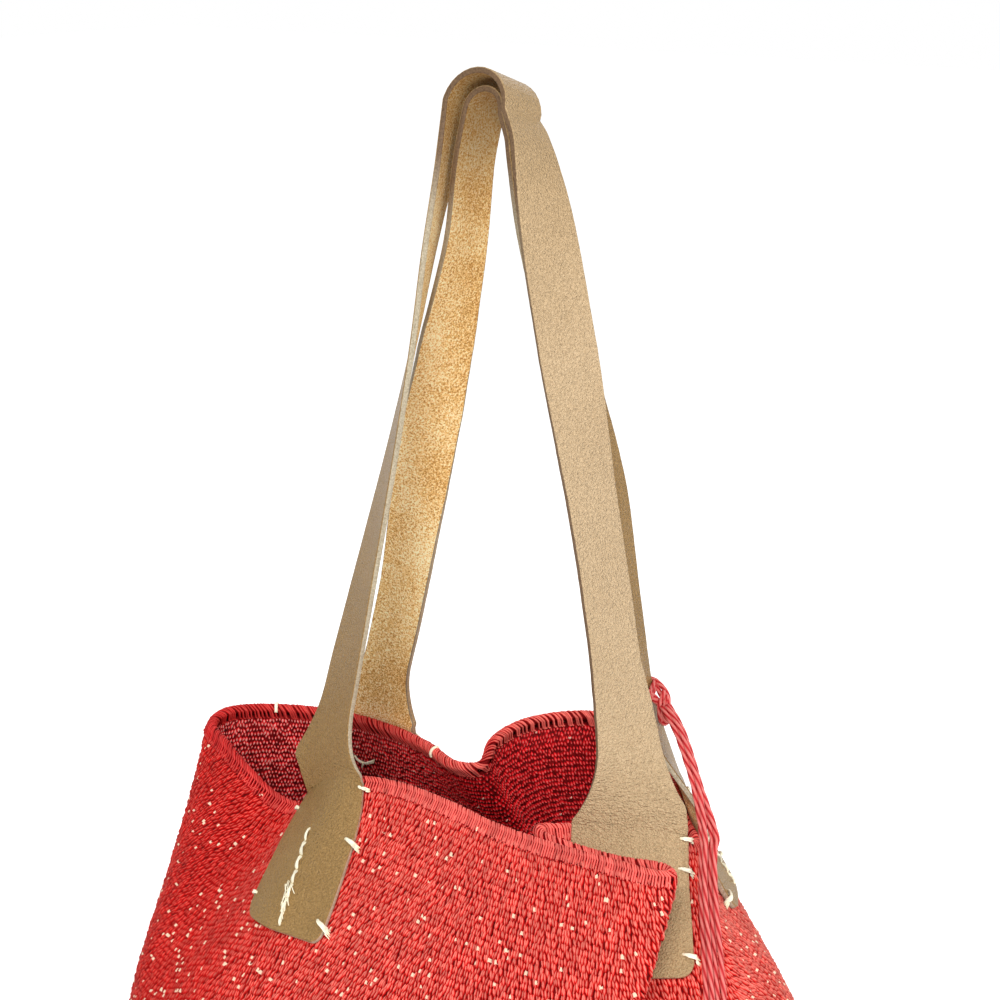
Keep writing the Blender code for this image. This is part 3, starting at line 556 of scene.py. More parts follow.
def hideGroup():
    inputs = (("Pebble", "Float", 1500.0), ("Wrinkle", "Float", 0.7), ("Speckle", "Float", 1300.0))
    outputs = [("Height", "Float"), ("PebbleDistance", "Float"), ("Mottle", "Float")]
    tree, given, result = newTree("grainedHide", "ShaderNodeTree", inputs, outputs)
    place = addNode(tree, "ShaderNodeTexCoord").outputs["Object"]
    lie = addNode(tree, "ShaderNodeAttribute", attribute_name="lie").outputs["Vector"]
    bend = addNode(tree, "ShaderNodeAttribute", attribute_name="bend").outputs["Fac"]
    warp = addNode(tree, "ShaderNodeTexNoise", {"Vector": place, "Scale": 400.0, "Detail": 2.0})
    warpReach = (0.0006,) * 3
    feeds = {0: warp.outputs["Color"], 1: warpReach}
    bent = addNode(tree, "ShaderNodeVectorMath", feeds, operation="MULTIPLY")
    shifted = addNode(tree, "ShaderNodeVectorMath", {0: place, 1: bent.outputs[0]}, operation="ADD")
    feeds = {"Vector": shifted.outputs[0], "Scale": given["Pebble"]}
    pebble = addNode(tree, "ShaderNodeTexVoronoi", feeds, feature="SMOOTH_F1")
    creaseScale = (260.0, 950.0, 1.0)  # long across the strip, narrow along it
    stretch = addNode(tree, "ShaderNodeVectorMath", {0: lie, 1: creaseScale}, operation="MULTIPLY")
    feeds = {"Vector": stretch.outputs[0], "Scale": 1.0, "Detail": 2.0, "Distortion": 0.6}
    wrinkle = addNode(tree, "ShaderNodeTexNoise", feeds)
    crease = maths(tree, "MULTIPLY", wrinkle.outputs[0], maths(tree, "MULTIPLY", bend, given["Wrinkle"]))
    height = maths(tree, "MULTIPLY_ADD", pebble.outputs["Distance"], -0.6, crease)
    tree.links.new(height, result["Height"])
    tree.links.new(pebble.outputs["Distance"], result["PebbleDistance"])
    feeds = {"Vector": place, "Scale": given["Speckle"], "Detail": 3.0, "Roughness": 0.7}
    speckle = addNode(tree, "ShaderNodeTexNoise", feeds)
    broad = addNode(tree, "ShaderNodeTexNoise", {"Vector": place, "Scale": 28.0, "Detail": 4.0})
    broadShare = maths(tree, "MULTIPLY", broad.outputs[0], 0.22)
    mottle = maths(tree, "MULTIPLY_ADD", speckle.outputs[0], 0.78, broadShare)
    tree.links.new(mottle, result["Mottle"])
    return tree


spunFibre = fibreGroup()
grainedHide = hideGroup()


def ramp(tree, factor, stops):
    node = addNode(tree, "ShaderNodeValToRGB", {0: factor})
    bar = node.color_ramp.elements
    while len(bar) < len(stops):
        bar.new(0.5)
    for element, (position, colour) in zip(bar, stops):
        element.position, element.color = position, colour
    return node.outputs["Color"]


def mixColour(tree, factor, a, b, blend="MIX"):
    node = tree.nodes.new("ShaderNodeMix")
    node.data_type, node.blend_type = "RGBA", blend
    for key, value in ((0, factor), (6, a), (7, b)):
        if isinstance(value, bpy.types.NodeSocket):
            tree.links.new(value, node.inputs[key])
        else:
            node.inputs[key].default_value = value
    return node.outputs[2]


def newMaterial(name, roughness, specular=0.5):
    made = bpy.data.materials.new(name)
    made.use_nodes = True
    shader = made.node_tree.nodes["Principled BSDF"]
    shader.inputs["Roughness"].default_value = roughness
    shader.inputs["Specular IOR Level"].default_value = specular
    return made, made.node_tree, shader


def attribute(tree, name):
    return addNode(tree, "ShaderNodeAttribute", attribute_name=name).outputs["Fac"]


def bump(tree, shader, height, distance, strength=1.0):
    node = addNode(tree, "ShaderNodeBump", {"Height": height, "Distance": distance, "Strength": strength})
    tree.links.new(node.outputs[0], shader.inputs["Normal"])


# dyed yarn coloured by the crest attribute: painted shade between the strands, a painted highlight on
# their crests, dimmed where the deep attribute paints shade; with pale flecks
def yarnMaterial(name, dark, middle, bright, fleck, roughness, scale):
    made, tree, shader = newMaterial(name, roughness, 0.08)
    group = addNode(tree, "ShaderNodeGroup", node_tree=spunFibre)
    group.inputs["Scale"].default_value = scale
    # deep dims the crests: painted shade on the outer face's left panel and on the inner face away from its
    # left end; a fixed share on the underside
    shown = maths(tree, "SUBTRACT", 1.0, attribute(tree, "deep"))
    crest = maths(tree, "MULTIPLY", attribute(tree, "crest"), shown)
    body = ramp(tree, crest, [(0.0, dark), (0.45, middle), (1.0, bright)])
    tint = maths(tree, "MULTIPLY_ADD", attribute(tree, "tint"), 0.44, 0.78)
    shade = maths(tree, "MULTIPLY", tint, maths(tree, "MULTIPLY_ADD", group.outputs["Mask"], 0.7, 0.65))
    grey = addNode(tree, "ShaderNodeCombineXYZ", {0: shade, 1: shade, 2: shade}).outputs[0]
    body = mixColour(tree, 1.0, body, grey, "MULTIPLY")
    if fleck:
        heart = maths(tree, "MULTIPLY_ADD", attribute(tree, "heart"), 8.0, -5.2)
        spot = maths(tree, "MULTIPLY", attribute(tree, "fleck"), heart)
        body = mixColour(tree, maths(tree, "MINIMUM", maths(tree, "MAXIMUM", spot, 0.0), 1.0), body, fleck)
    tree.links.new(body, shader.inputs["Base Color"])
    bump(tree, shader, group.outputs["Height"], 0.0003, 0.6)
    return made


redWeave = yarnMaterial(
    "redWeave", srgb(88, 0, 0), srgb(206, 20, 18), srgb(255, 146, 130), srgb(255, 226, 196), 0.6, 2600.0)
# the inner yarn as a lit copy of the outer: its lighter colours are painted light on the inside of the mouth
litRedInside = yarnMaterial(
    "litRedInside", srgb(138, 0, 6), srgb(236, 28, 38), srgb(255, 190, 180), srgb(255, 206, 186), 0.45, 2600.0)
redEdge = yarnMaterial(
    "redEdge", srgb(118, 0, 4), srgb(194, 28, 30), srgb(255, 132, 120), None, 0.6, 2200.0)
redYarn = yarnMaterial(
    "redYarn", srgb(136, 2, 10), srgb(236, 66, 70), srgb(255, 152, 144), None, 0.65, 2000.0)
creamThread = yarnMaterial(
    "creamThread", srgb(190, 160, 100), srgb(244, 230, 190), srgb(255, 248, 222), None, 0.55, 3000.0)


# warp and packed strands under the turns and in the edge's core: darker than the yarn as painted shade of the
# gaps, darkest at each cell's border
def groundMaterial():
    made, tree, shader = newMaterial("redGround", 0.8, 0.2)
    lie = addNode(tree, "ShaderNodeAttribute", attribute_name="lie").outputs["Vector"]
    scaled = addNode(tree, "ShaderNodeVectorMath", {0: lie, 1: (440.0, 230.0, 1.0)}, operation="MULTIPLY")
    feeds = {"Vector": scaled.outputs[0], "Scale": 1.0, "Randomness": 0.35}
    cells = addNode(tree, "ShaderNodeTexVoronoi", feeds)
    body = ramp(tree, cells.outputs["Distance"], [(0.1, srgb(140, 4, 8)), (0.75, srgb(84, 0, 4))])
    tree.links.new(body, shader.inputs["Base Color"])
    raised = maths(tree, "SUBTRACT", 1.0, cells.outputs["Distance"])
    bump(tree, shader, raised, 0.0012)
    return made


def hideMaterial():
    made, tree, shader = newMaterial("tannedGrain", 0.42, 0.22)
    group = addNode(tree, "ShaderNodeGroup", node_tree=grainedHide)
    # olive and tan grain mixed by the tan attribute: partly the leather's tone, partly painted light and
    # shade, olive for the side turned from the light, tan for the lit side
    olive = ramp(tree, group.outputs["Mottle"], [(0.3, srgb(138, 106, 58)), (0.7, srgb(182, 146, 92))])
    tan = ramp(tree, group.outputs["Mottle"], [(0.3, srgb(184, 155, 117)), (0.7, srgb(217, 190, 152))])
    body = mixColour(tree, attribute(tree, "tan"), olive, tan)
    # lighter on each pebble, darker in the creases between pebbles: painted light and shade of the pebbling
    pebbleShade = maths(tree, "MULTIPLY_ADD", group.outputs["PebbleDistance"], -0.42, 1.12)
    grey = addNode(tree, "ShaderNodeCombineXYZ", {0: pebbleShade, 1: pebbleShade, 2: pebbleShade}).outputs[0]
    tree.links.new(mixColour(tree, 1.0, body, grey, "MULTIPLY"), shader.inputs["Base Color"])
    rough = maths(tree, "MULTIPLY_ADD", group.outputs["Mottle"], 0.3, 0.20)
    tree.links.new(rough, shader.inputs["Roughness"])
    bump(tree, shader, group.outputs["Height"], 0.0016, 1.0)
    return made


def cutMaterial():
    made, tree, shader = newMaterial("cutEdge", 0.6, 0.4)
    group = addNode(tree, "ShaderNodeGroup", node_tree=grainedHide)
    pale = ramp(tree, group.outputs["Mottle"], [(0.3, srgb(140, 126, 98)), (0.65, srgb(212, 202, 176))])
    brown = ramp(tree, group.outputs["Mottle"], [(0.3, srgb(72, 50, 32)), (0.65, srgb(128, 100, 70))])
    # browner cut edge towards the crown: painted shade there
    share = maths(tree, "MULTIPLY_ADD", attribute(tree, "crownShade"), 1.6, attribute(tree, "tan"))
    body = mixColour(tree, maths(tree, "MINIMUM", share, 1.0), pale, brown)
    tree.links.new(body, shader.inputs["Base Color"])
    bump(tree, shader, group.outputs["Mottle"], 0.0003, 0.5)
    return made


def fleshMaterial():
    made, tree, shader = newMaterial("rawFlesh", 0.85, 0.25)
    group = addNode(tree, "ShaderNodeGroup", node_tree=grainedHide)
    body = ramp(
        tree, group.outputs["Mottle"],
        [(0.41, srgb(182, 126, 58)), (0.5, srgb(246, 200, 124)), (0.59, srgb(255, 246, 204))])
    # darker flesh towards the crown: painted shade
    body = mixColour(tree, attribute(tree, "crownShade"), body, srgb(120, 86, 44))
    tree.links.new(body, shader.inputs["Base Color"])
    bump(tree, shader, group.outputs["Mottle"], 0.0007, 0.9)
    return made


redGround = groundMaterial()
tannedGrain, cutEdge, rawFlesh = hideMaterial(), cutMaterial(), fleshMaterial()
print("materials made")

# loose yarn ends of the tie, as free cords: way in the tie's frame, fall over the wall
yarn = dict(
    radius=0.0012, strands=4, gap=0.00004, tieHeight=0.0430,
    way=((0.0063, -0.0033, 0.0050), (0.0026, -0.0058, 0.0072), (-0.0012, -0.0089, 0.0094),
         (-0.0053, -0.0130, 0.0115), (-0.0140, -0.0217, 0.0146), (-0.0232, -0.0319, 0.0172)),
    fall=(
        (0.004, 0.0266, 0.0, 0.0050), (0.016, 0.0270, 0.0, 0.0046), (0.032, 0.0280, 0.12, 0.0030),
        (0.050, 0.0292, 0.4, 0.0012), (0.085, 0.0300, 0.9, 0.0), (0.210, 0.0312, 1.0, 0.0),
    ),
    stations=18, lobes=3, lobeDepth=0.26, pitch=0.024, sides=15, step=0.0015,
)


def smoothPath(points, pitch):
    points = np.array(points, float)
    run = np.concatenate([[0], np.cumsum(np.linalg.norm(np.diff(points, axis=0), axis=1))])
    keys = [[(a, p[k]) for a, p in zip(run, points)] for k in range(3)]
    fine = np.array([[throughKeys(keys[k], a) for k in range(3)] for a in np.linspace(0, run[-1], 600)])
    along = np.concatenate([[0], np.cumsum(np.linalg.norm(np.diff(fine, axis=0), axis=1))])
    at = np.linspace(0, along[-1], int(round(along[-1] / pitch)) + 1)
    return np.stack([np.interp(at, along, fine[:, k]) for k in range(3)], axis=1)


# plied yarn: a lobed section that turns along the path
def pliedTube(name, path, radius, pitch, lobes, lobeDepth, sides):
    path = np.asarray(path, float)
    tangents = unit(np.gradient(path, axis=0))
    side = np.cross(tangents[0], (0.0, 0.0, 1.0))
    side = side if np.linalg.norm(side) > 0.2 else np.cross(tangents[0], (1.0, 0.0, 0.0))
    run = np.concatenate([[0], np.cumsum(np.linalg.norm(np.diff(path, axis=0), axis=1))])
    points, crest, runs = [], [], []
    for i, (place, tangent) in enumerate(zip(path, tangents)):
        side = unit(side - tangent * np.dot(side, tangent))
        up = np.cross(side, tangent)
        turn = np.arange(sides) * 2 * pi / sides
        # crest: painted highlight on each ply, painted shade in the grooves between plies
        wave = np.abs(np.cos((turn - run[i] / pitch * 2 * pi) * lobes / 2))
        r = radius * (1 - lobeDepth + lobeDepth * wave)
        points += list(place + r[:, None] * (np.cos(turn)[:, None] * side + np.sin(turn)[:, None] * up))
        crest += list(wave)
        runs += [run[i]] * sides
    faces = []
    for i in range(len(path) - 1):
        for k in range(sides):
            m = (k + 1) % sides
            faces.append([i * sides + k, i * sides + m, (i + 1) * sides + m, (i + 1) * sides + k])
    faces.append(list(range(sides - 1, -1, -1)))
    faces.append([(len(path) - 1) * sides + k for k in range(sides)])
    made = addObject(name, addMesh(name, points, faces, dict(crest=crest, run=runs)))
    made.data.shade_smooth()
    return made


def facingOut(made):
    work = bmesh.new()
    work.from_mesh(made.data)
    bmesh.ops.recalc_face_normals(work, faces=work.faces)
    if work.calc_volume(signed=True) < 0:
        bmesh.ops.reverse_faces(work, faces=work.faces)
    work.to_mesh(made.data)
    work.free()


def finished(made, material):
    facingOut(made)
    made.data.materials.append(material)
    made.data.shade_smooth()
    return made


# place of the tie on its leg, with the directions across, up and off the leather
def tieFrame(leg, up):
    middlePoint, width, face = leg.at(up)
    axis = unit(leg.at(up + 0.004)[0] - leg.at(up - 0.004)[0])
    return middlePoint, width, axis, face


def looseEnd(number):
    pitch = 2 * yarn["radius"] + yarn["gap"] * 2
    pair, row = divmod(number, 2)
    stacked, spread = (pair - 0.5) * pitch, (number - 1.5) * pitch
    tieLeg, wallLeg = legs["backRight"], legs["frontRight"]
    middlePoint, width, axis, face = tieFrame(tieLeg, yarn["tieHeight"])
    points = [
        middlePoint + width * (across + stacked) + axis * rise + face * (away + row * pitch * 0.9)
        for across, rise, away in yarn["way"]
    ]
    fall = yarn["fall"]
    downs, *ways = zip(*fall)
    for down in np.linspace(fall[0][0], fall[-1][0], yarn["stations"]):
        across, spreadOut, away = [np.interp(down, downs, way) for way in ways]
        side = across + stacked + (spread - stacked) * spreadOut
        lift = yarn["radius"] + leather["seat"] + away + row * pitch * (1 - spreadOut**3)
        points.append(wallLeg.over(side, down, basket["thick"] / 2 + lift))
    path = smoothPath(points, yarn["step"])
    name = "yarn_end_%d" % (number + 1)
    section = [yarn[key] for key in ("radius", "pitch", "lobes", "lobeDepth", "sides")]
    return finished(pliedTube(name, path, *section), redYarn), path


looseEnds = [looseEnd(number) for number in range(yarn["strands"])]
print("yarn ends laid")

# woven wall
weave = dict(
    around=600, rows=128, start=-0.0016, reference=(0.000, -0.014), drift=-0.42, panels=8,
    width=0.00185, length=0.0064, height=0.00125, sink=0.0009, jitter=0.00045, scaleTilt=0.12,
    leans=((-0.17, -1.0), (-0.08, -0.8), (0.0, 0.2), (0.05, 0.8), (0.12, 1.0)), lean=radians(20),
    unevenness=0.24, flecks=((0.03, 0.025), (0.10, 0.06), (0.25, 0.09)), seed=31,
    # painted shade by x: dims the outer face's crests on the left panel, which turns away from the light
    paintedShade=((-0.15, 0.34), (-0.09, 0.30), (-0.04, 0.10), (0.0, 0.05)),
    # painted shade on the inner face, darker away from its left end in the front wall's shadow
    insidePaintedShade=((-0.11, 0.0), (-0.02, 0.30)),
    insideAround=512, insideRows=44, insideStart=0.0026, insidePitch=0.0024, insideWidth=0.00165,
    insideLength=0.0031, insideHeight=0.0009, insideLean=radians(14), insideFlecks=0.015,
    insideSway=0.00035, baseWidth=0.0021, baseLength=0.0036, baseHeight=0.0010, baseLean=radians(10),
    baseFlecks=0.03, baseDarker=0.1,
    baseRing=0.0030, baseAcross=0.0024,
)


# one visible turn of a strand: pointed ends, ridged back, open underneath
def grainMesh():
    stations = ((-0.62, 0.60, 0.0), (-0.20, 1.0, 0.8), (0.20, 1.0, 0.8), (0.62, 0.60, 0.0))
    angles = np.radians((0, 90, 180))
    points, faces, crest, heart = [(0, -1, 0)], [], [0.0], [0.0]
    for y, size, core in stations:
        for angle in angles:
            points.append((cos(angle) * 0.5 * size, y, sin(angle) * size))
            # crest: painted highlight along the ridge, painted shade down to the base where turns meet
            crest.append(sin(angle) * size)
            heart.append(core)
    points.append((0, 1, 0))
    crest.append(0.0)
    heart.append(0.0)
    wide, last = len(angles), len(points) - 1
    for k in range(wide - 1):
        faces.append((0, 1 + k, 2 + k))
        faces.append((last, last - wide + k + 1, last - wide + k))
        for i in range(len(stations) - 1):
            a = 1 + i * wide + k
            faces.append((a, a + wide, a + wide + 1, a + 1))
    points = [(x, y * 0.5, z) for x, y, z in points]
    mesh = addMesh("grain", points, faces, dict(crest=crest, heart=heart))
    mesh.shade_smooth()
    return addObject("grain", mesh)


grain = grainMesh()
grain.hide_render = True


# rows of the wall at even steps down it, each row's places at even steps along it
def wallRows():
    shares = np.linspace(0, 1, 901)[:-1]
    top = edgeDepth(shares) + weave["start"]
    steps = np.linspace(0, 1, 220) ** 0.9
    depths = top[None] + (basket["rimHeight"] - top)[None] * np.sin(steps * pi / 2)[:, None]
    path = wallMiddle(shares[None].repeat(len(depths), 0), depths)
    fall = np.linalg.norm(np.diff(path, axis=0), axis=2)
    fall = np.vstack([np.zeros(len(shares)), np.cumsum(fall, axis=0)])
    reference = shareNear(*weave["reference"])
    found = []
    for r in range(weave["rows"]):
        level = (r + 0.5) / weave["rows"]
        rowDepth = [np.interp(fall[-1, k] * level, fall[:, k], depths[:, k]) for k in range(len(shares))]
        rowDepth = np.array(rowDepth)
        looped = np.append(shares, 1.0)
        depthLoop = np.append(rowDepth, rowDepth[0])
        points = wallMiddle(looped, depthLoop)
        run = np.concatenate([[0], np.cumsum(np.linalg.norm(np.diff(points, axis=0), axis=1))])
        start = np.interp(reference, looped, run)
        at = (start + (np.arange(weave["around"]) + weave["drift"] * r) * run[-1] / weave["around"]) % run[-1]
        share = np.interp(at, run, looped)
        found.append((share, np.interp(share, looped, depthLoop), run[-1] / weave["around"]))
    return found


def placesMesh(name, places, out, down, pair, big, fleck, deep):
    return addMesh(name, places, [], dict(out=out, down=down, pair=pair, big=big, fleck=fleck, deep=deep))


chance = np.random.default_rng(weave["seed"])
rows = wallRows()
wallShare = np.array([row[0] for row in rows])
wallDepth = np.array([row[1] for row in rows])
middle = wallMiddle(wallShare, wallDepth)
normal = wallNormal(wallShare, np.minimum(wallDepth, basket["rimHeight"] - 0.004))
along = unit(np.roll(middle, -1, axis=1) - np.roll(middle, 1, axis=1))
down = unit(np.cross(normal, along))
down *= np.where((down * (wallMiddle(wallShare, wallDepth + 0.001) - middle)).sum(-1) < 0, -1, 1)[..., None]
fleck = (chance.random(wallShare.shape) < np.interp(wallDepth, *zip(*weave["flecks"]))).astype(float)
placeIndex = np.indices(wallShare.shape)[1]
pair = np.interp(middle[..., 0], *zip(*weave["leans"]))
big = np.interp(middle[..., 0], (-0.15, -0.07), (0.86, 0.88)) + 0.18 * chance.random(wallShare.shape)
# painted shade: the left panel's crests dimmed, as it turns away from the light
deep = np.interp(middle[..., 0], *zip(*weave["paintedShade"]))
seatOff = basket["thick"] / 2 - weave["sink"]
sway = chance.uniform(-weave["jitter"], weave["jitter"], (2,) + wallShare.shape + (1,))
spots = middle + normal * seatOff + along * sway[0] + down * sway[1]
spots[..., 2] = np.maximum(spots[..., 2], weave["length"] * 0.25)
tilted = unit(normal - down * weave["scaleTilt"])


def panel(name, chosen, material, values):
    mesh = placesMesh(name, *[part[chosen] for part in laidParts])
    kept = ("tint", "crest", "fleck", "heart", "deep")
    return grown(name, mesh, layGrains, dict(values, Yarn=material), kept)


weavePieces = []
laidParts = (spots, tilted, down, pair, big, fleck, deep)
values = {
    "Grain": grain, "Width": weave["width"], "Length": weave["length"], "Height": weave["height"],
    "Lean": 0.0, "Cross lean": weave["lean"], "Unevenness": weave["unevenness"],
}
for number in range(weave["panels"]):
    low = number * weave["around"] // weave["panels"]
    high = (number + 1) * weave["around"] // weave["panels"]
    chosen = (placeIndex >= low) & (placeIndex < high)
    name = "outer_weave_%d" % (number + 1)
    weavePieces.append(panel(name, chosen, redWeave, dict(values, Seed=number + 1)))
print("outer weave laid,", wallShare.size, "strand turns")


# inner face: level rows of upright turns, as deep as the mouth shows
insideShare, insideDepth = [], []
shareStep = np.arange(weave["insideAround"]) / weave["insideAround"]
for r in range(weave["insideRows"]):
    share = (shareStep + (0.5 if r % 2 else 0) / weave["insideAround"]) % 1
    insideShare.append(share)
    insideDepth.append(edgeDepth(share) + weave["insideStart"] + r * weave["insidePitch"])
insideShare, insideDepth = np.array(insideShare), np.array(insideDepth)
insideMiddle = wallMiddle(insideShare, insideDepth)
insideNormal = -wallNormal(insideShare, insideDepth)
insideDown = unit(wallMiddle(insideShare, insideDepth + 0.001) - insideMiddle)
insideFleck = (chance.random(insideShare.shape) < weave["insideFlecks"]).astype(float)
insideSway = chance.normal(size=insideShare.shape + (1,)) * weave["insideSway"]
laidParts = (
    insideMiddle + insideNormal * seatOff + insideDown * insideSway, insideNormal, insideDown,
    chance.uniform(-1.0, 1.0, insideShare.shape), chance.uniform(0.72, 1.16, insideShare.shape), insideFleck,
    # painted shade on the inner face, darker away from its left end in the front wall's shadow
    np.interp(insideMiddle[..., 0], *zip(*weave["insidePaintedShade"])),
)
values.update({
    "Width": weave["insideWidth"], "Length": weave["insideLength"], "Height": weave["insideHeight"],
    "Cross lean": weave["insideLean"],
})
third = np.indices(insideShare.shape)[1] * 3 // weave["insideAround"]
for number in range(3):
    name = "inner_weave_%d" % (number + 1)
    weavePieces.append(panel(name, third == number, litRedInside, dict(values, Seed=41 + number)))
print("inner weave laid")


# underside: rings of grains
def baseRings():
    foot = wallMiddle(np.linspace(0, 1, 721)[:-1], basket["rimHeight"])
    reach = np.hypot(foot[:, 0], foot[:, 1]).min()
    places, downs = [], []
    ring = 0
    while reach - ring * weave["baseRing"] > weave["baseRing"]:
        share = 1 - (ring + 0.3) * weave["baseRing"] / reach
        line = foot[:, :2] * share
        run = np.linalg.norm(np.diff(np.vstack([line, line[:1]]), axis=0), axis=1)
        run = np.concatenate([[0], np.cumsum(run)])
        count = max(int(run[-1] / weave["baseAcross"]), 5)
        at = (np.arange(count) + 0.35 * ring) % count * run[-1] / count
        x = np.interp(at, run, np.append(line[:, 0], line[0, 0]))
        y = np.interp(at, run, np.append(line[:, 1], line[0, 1]))
        places.append(np.stack([x, y, 0 * x + weave["sink"] + 0.0003], axis=1))
        downs.append(unit(np.stack([-x, -y, 0 * x], axis=1)))
        ring += 1
    return np.vstack(places), np.vstack(downs)


basePlaces, baseDowns = baseRings()
baseCount = len(basePlaces)
baseOnes = np.ones(baseCount)
laidParts = (
    basePlaces, np.tile((0.0, 0.0, -1.0), (baseCount, 1)), baseDowns,
    np.where(np.arange(baseCount) % 2, 1.0, -1.0), baseOnes,
    # the underside's crests dimmed by a fixed share
    (chance.random(baseCount) < weave["baseFlecks"]) * 1.0, baseOnes * weave["baseDarker"],
)
values.update({
    "Width": weave["baseWidth"], "Length": weave["baseLength"], "Height": weave["baseHeight"],
    "Cross lean": weave["baseLean"], "Seed": 50,
})
weavePieces.append(panel("base_weave", np.ones(baseCount, bool), redWeave, values))


# the closed shell under the grains: warp and packed strands
shell = dict(
    around=430, topGap=0.0004, cover=0.0007, baseUnder=0.0013, baseRings=(0.8, 0.6, 0.4, 0.2, 0.06),
    baseReach=0.08, flatNear=0.004,
)


def groundShell():
    shares = np.arange(shell["around"]) / shell["around"]
    top = edgeDepth(shares) + shell["topGap"]
    steps = np.concatenate([np.linspace(0, 0.5, 30, endpoint=False), np.linspace(0.5, 1, 22)])
    inside, outside, lies = [], [], []
    half = basket["thick"] / 2 - shell["cover"]
    for step in steps:
        depth = top + (basket["rimHeight"] - top) * sin(step * pi / 2)
        place = wallMiddle(shares, depth)
        out = wallNormal(shares, np.minimum(depth, basket["rimHeight"] - shell["flatNear"]))
        level = unit(out * (1, 1, 0))
        low = (depth - basket["bellyDepth"]) / (basket["rimHeight"] - basket["bellyDepth"])
        low = np.clip(low, 0, 1)[:, None]
        off = level * (1 - low) + out * low
        outside.append(place + off * half)
        inside.append(place - off * half)
        lies.append(np.stack([shares * mouthLength, depth, 0 * depth], axis=1))
    outside[-1][:, 2] = shell["baseUnder"]
    inside[-1][:, 2] = basket["baseThick"]
    for share in shell["baseRings"]:
        outside.append(outside[len(steps) - 1] * (share, share, 1))
        inside.append(inside[len(steps) - 1] * (share, share, 1))
        lies.append(lies[len(steps) - 1] + (0, (1 - share) * shell["baseReach"], 0))
    layers, count = len(outside), len(shares)
    points = np.vstack(outside + inside)
    faces = []
    for side in (0, 1):
        for level in range(layers - 1):
            for c in range(count):
                row = (side * layers + level) * count
                a, b = row + c, row + (c + 1) % count
                quad = (a, b, b + count, a + count)
                faces.append(quad if side else quad[::-1])
    for c in range(count):
        a, b = c, (c + 1) % count
        faces.append((a, b, layers * count + b, layers * count + a))
    faces.append([(layers - 1) * count + c for c in range(count)][::-1])
    faces.append([(2 * layers - 1) * count + c for c in range(count)])
    mesh = addMesh("woven_ground", points, faces, dict(lie=np.vstack(lies + lies)))
    return finished(addObject("woven_ground", mesh), redGround)


ground = groundShell()

# whipped edge
edge = dict(
    turns=600, radius=0.00064, lift=-0.00020, outerLeg=0.0006, innerLeg=0.0012, slant=-0.0056, seed=5,
    unevenPlace=0.22, bite=0.0002, ticks=(0.967, 0.836), tickRadius=0.0008, core=0.0017,
    leftShade=((-0.15, 0.74), (-0.08, 0.84), (-0.02, 1.0)), crestPower=1.6,
)


def edgeFrame(share):
    depth = edgeDepth(share)
    step = 0.0008
    run = wallMiddle(share + step, depth) - wallMiddle(share - step, depth)
    level = np.hypot(run[..., 0], run[..., 1]) / np.linalg.norm(run, axis=-1)
    rollDepth = depth - (basket["rollRadius"] + basket["rollSeat"]) / level
    inset = basket["rollRadius"] - basket["thick"] / 2 + basket["rollInset"]
    out = wallNormal(share, rollDepth)
    centre = wallMiddle(share, rollDepth) - out * inset
    up = unit(np.cross(unit(run), out))
    up *= np.sign(up[..., 2:3])
    return depth, centre, out, up


def whippedEdge():
    chance = np.random.default_rng(edge["seed"])
    paths, faces = [], []
    around = basket["rollRadius"] + edge["lift"] - edge["bite"]
    for k in range(edge["turns"]):
        share = (k + edge["unevenPlace"] * chance.random()) / edge["turns"]
        slant = edge["slant"] / mouthLength * (0.80 + 0.40 * chance.random())
        legDown = edge["outerLeg"] * (0.2 + 2.0 * chance.random())
        path, radii = [], []
        for t in (1.0, 0.7, 0.4, 0.15):
            depth = edgeDepth(share) + legDown * t
            off = basket["thick"] / 2 + edge["lift"] * (1 - 1.6 * t**4)
            path.append(wallMiddle(share, depth) + wallNormal(share, depth) * off)
            faces.append(wallNormal(share, depth))
            radii.append(edge["radius"] * (1 - 0.45 * t**3))
        for angle in radians(8) + np.linspace(0, radians(176), 7):
            at = share + slant * angle / pi
            depth, centre, out, up = edgeFrame(at)
            faces.append(out * cos(angle) + up * sin(angle))
            path.append(centre + around * faces[-1])
            radii.append(edge["radius"] * (0.8 + 0.4 * chance.random()))
        for t in (0.5, 1.0):
            at = share + slant * (1 + 0.35 * t)
            depth = edgeDepth(at) + edge["innerLeg"] * t
            off = -(basket["thick"] / 2 + edge["lift"] * (1 - 1.8 * t))
            faces.append(-wallNormal(at, depth))
            path.append(wallMiddle(at, depth) - faces[-1] * off)
            radii.append(edge["radius"] * (1 - 0.3 * t))
        paths.append((path, radii))
    return threads("whipped_edge", paths, redEdge, 6, faces)


# two pale threads caught over the edge
def edgeTicks():
    around = basket["rollRadius"] + edge["lift"] + edge["tickRadius"]
    paths = []
    for share in edge["ticks"]:
        for shift in (-0.4, 0.4):
            path = []
            for angle in np.linspace(radians(50), radians(190), 7):
                depth, centre, out, up = edgeFrame(share + shift * edge["tickRadius"] / mouthLength)
                path.append(centre + around * (out * cos(angle) + up * sin(angle)))
            paths.append((path, edge["tickRadius"] * 0.6))
    return threads("edge_ticks", paths, creamThread, 6)


def edgeCore():
    shares = np.linspace(0, 1, 601)[:-1]
    depth, centre, out, up = edgeFrame(shares)
    sides = 10
    turn = np.arange(sides) * 2 * pi / sides
    radius = edge["core"]
    sideways, upwards = np.cos(turn)[None, :, None], np.sin(turn)[None, :, None]
    points = centre[:, None] + radius * (out[:, None] * sideways + up[:, None] * upwards)
    faces = []
    for i in range(len(shares)):
        j = (i + 1) % len(shares)
        for k in range(sides):
            m = (k + 1) % sides
            faces.append((i * sides + k, j * sides + k, j * sides + m, i * sides + m))
    mesh = addMesh("edge_core", points.reshape(-1, 3), faces)
    return finished(addObject("edge_core", mesh), redGround)


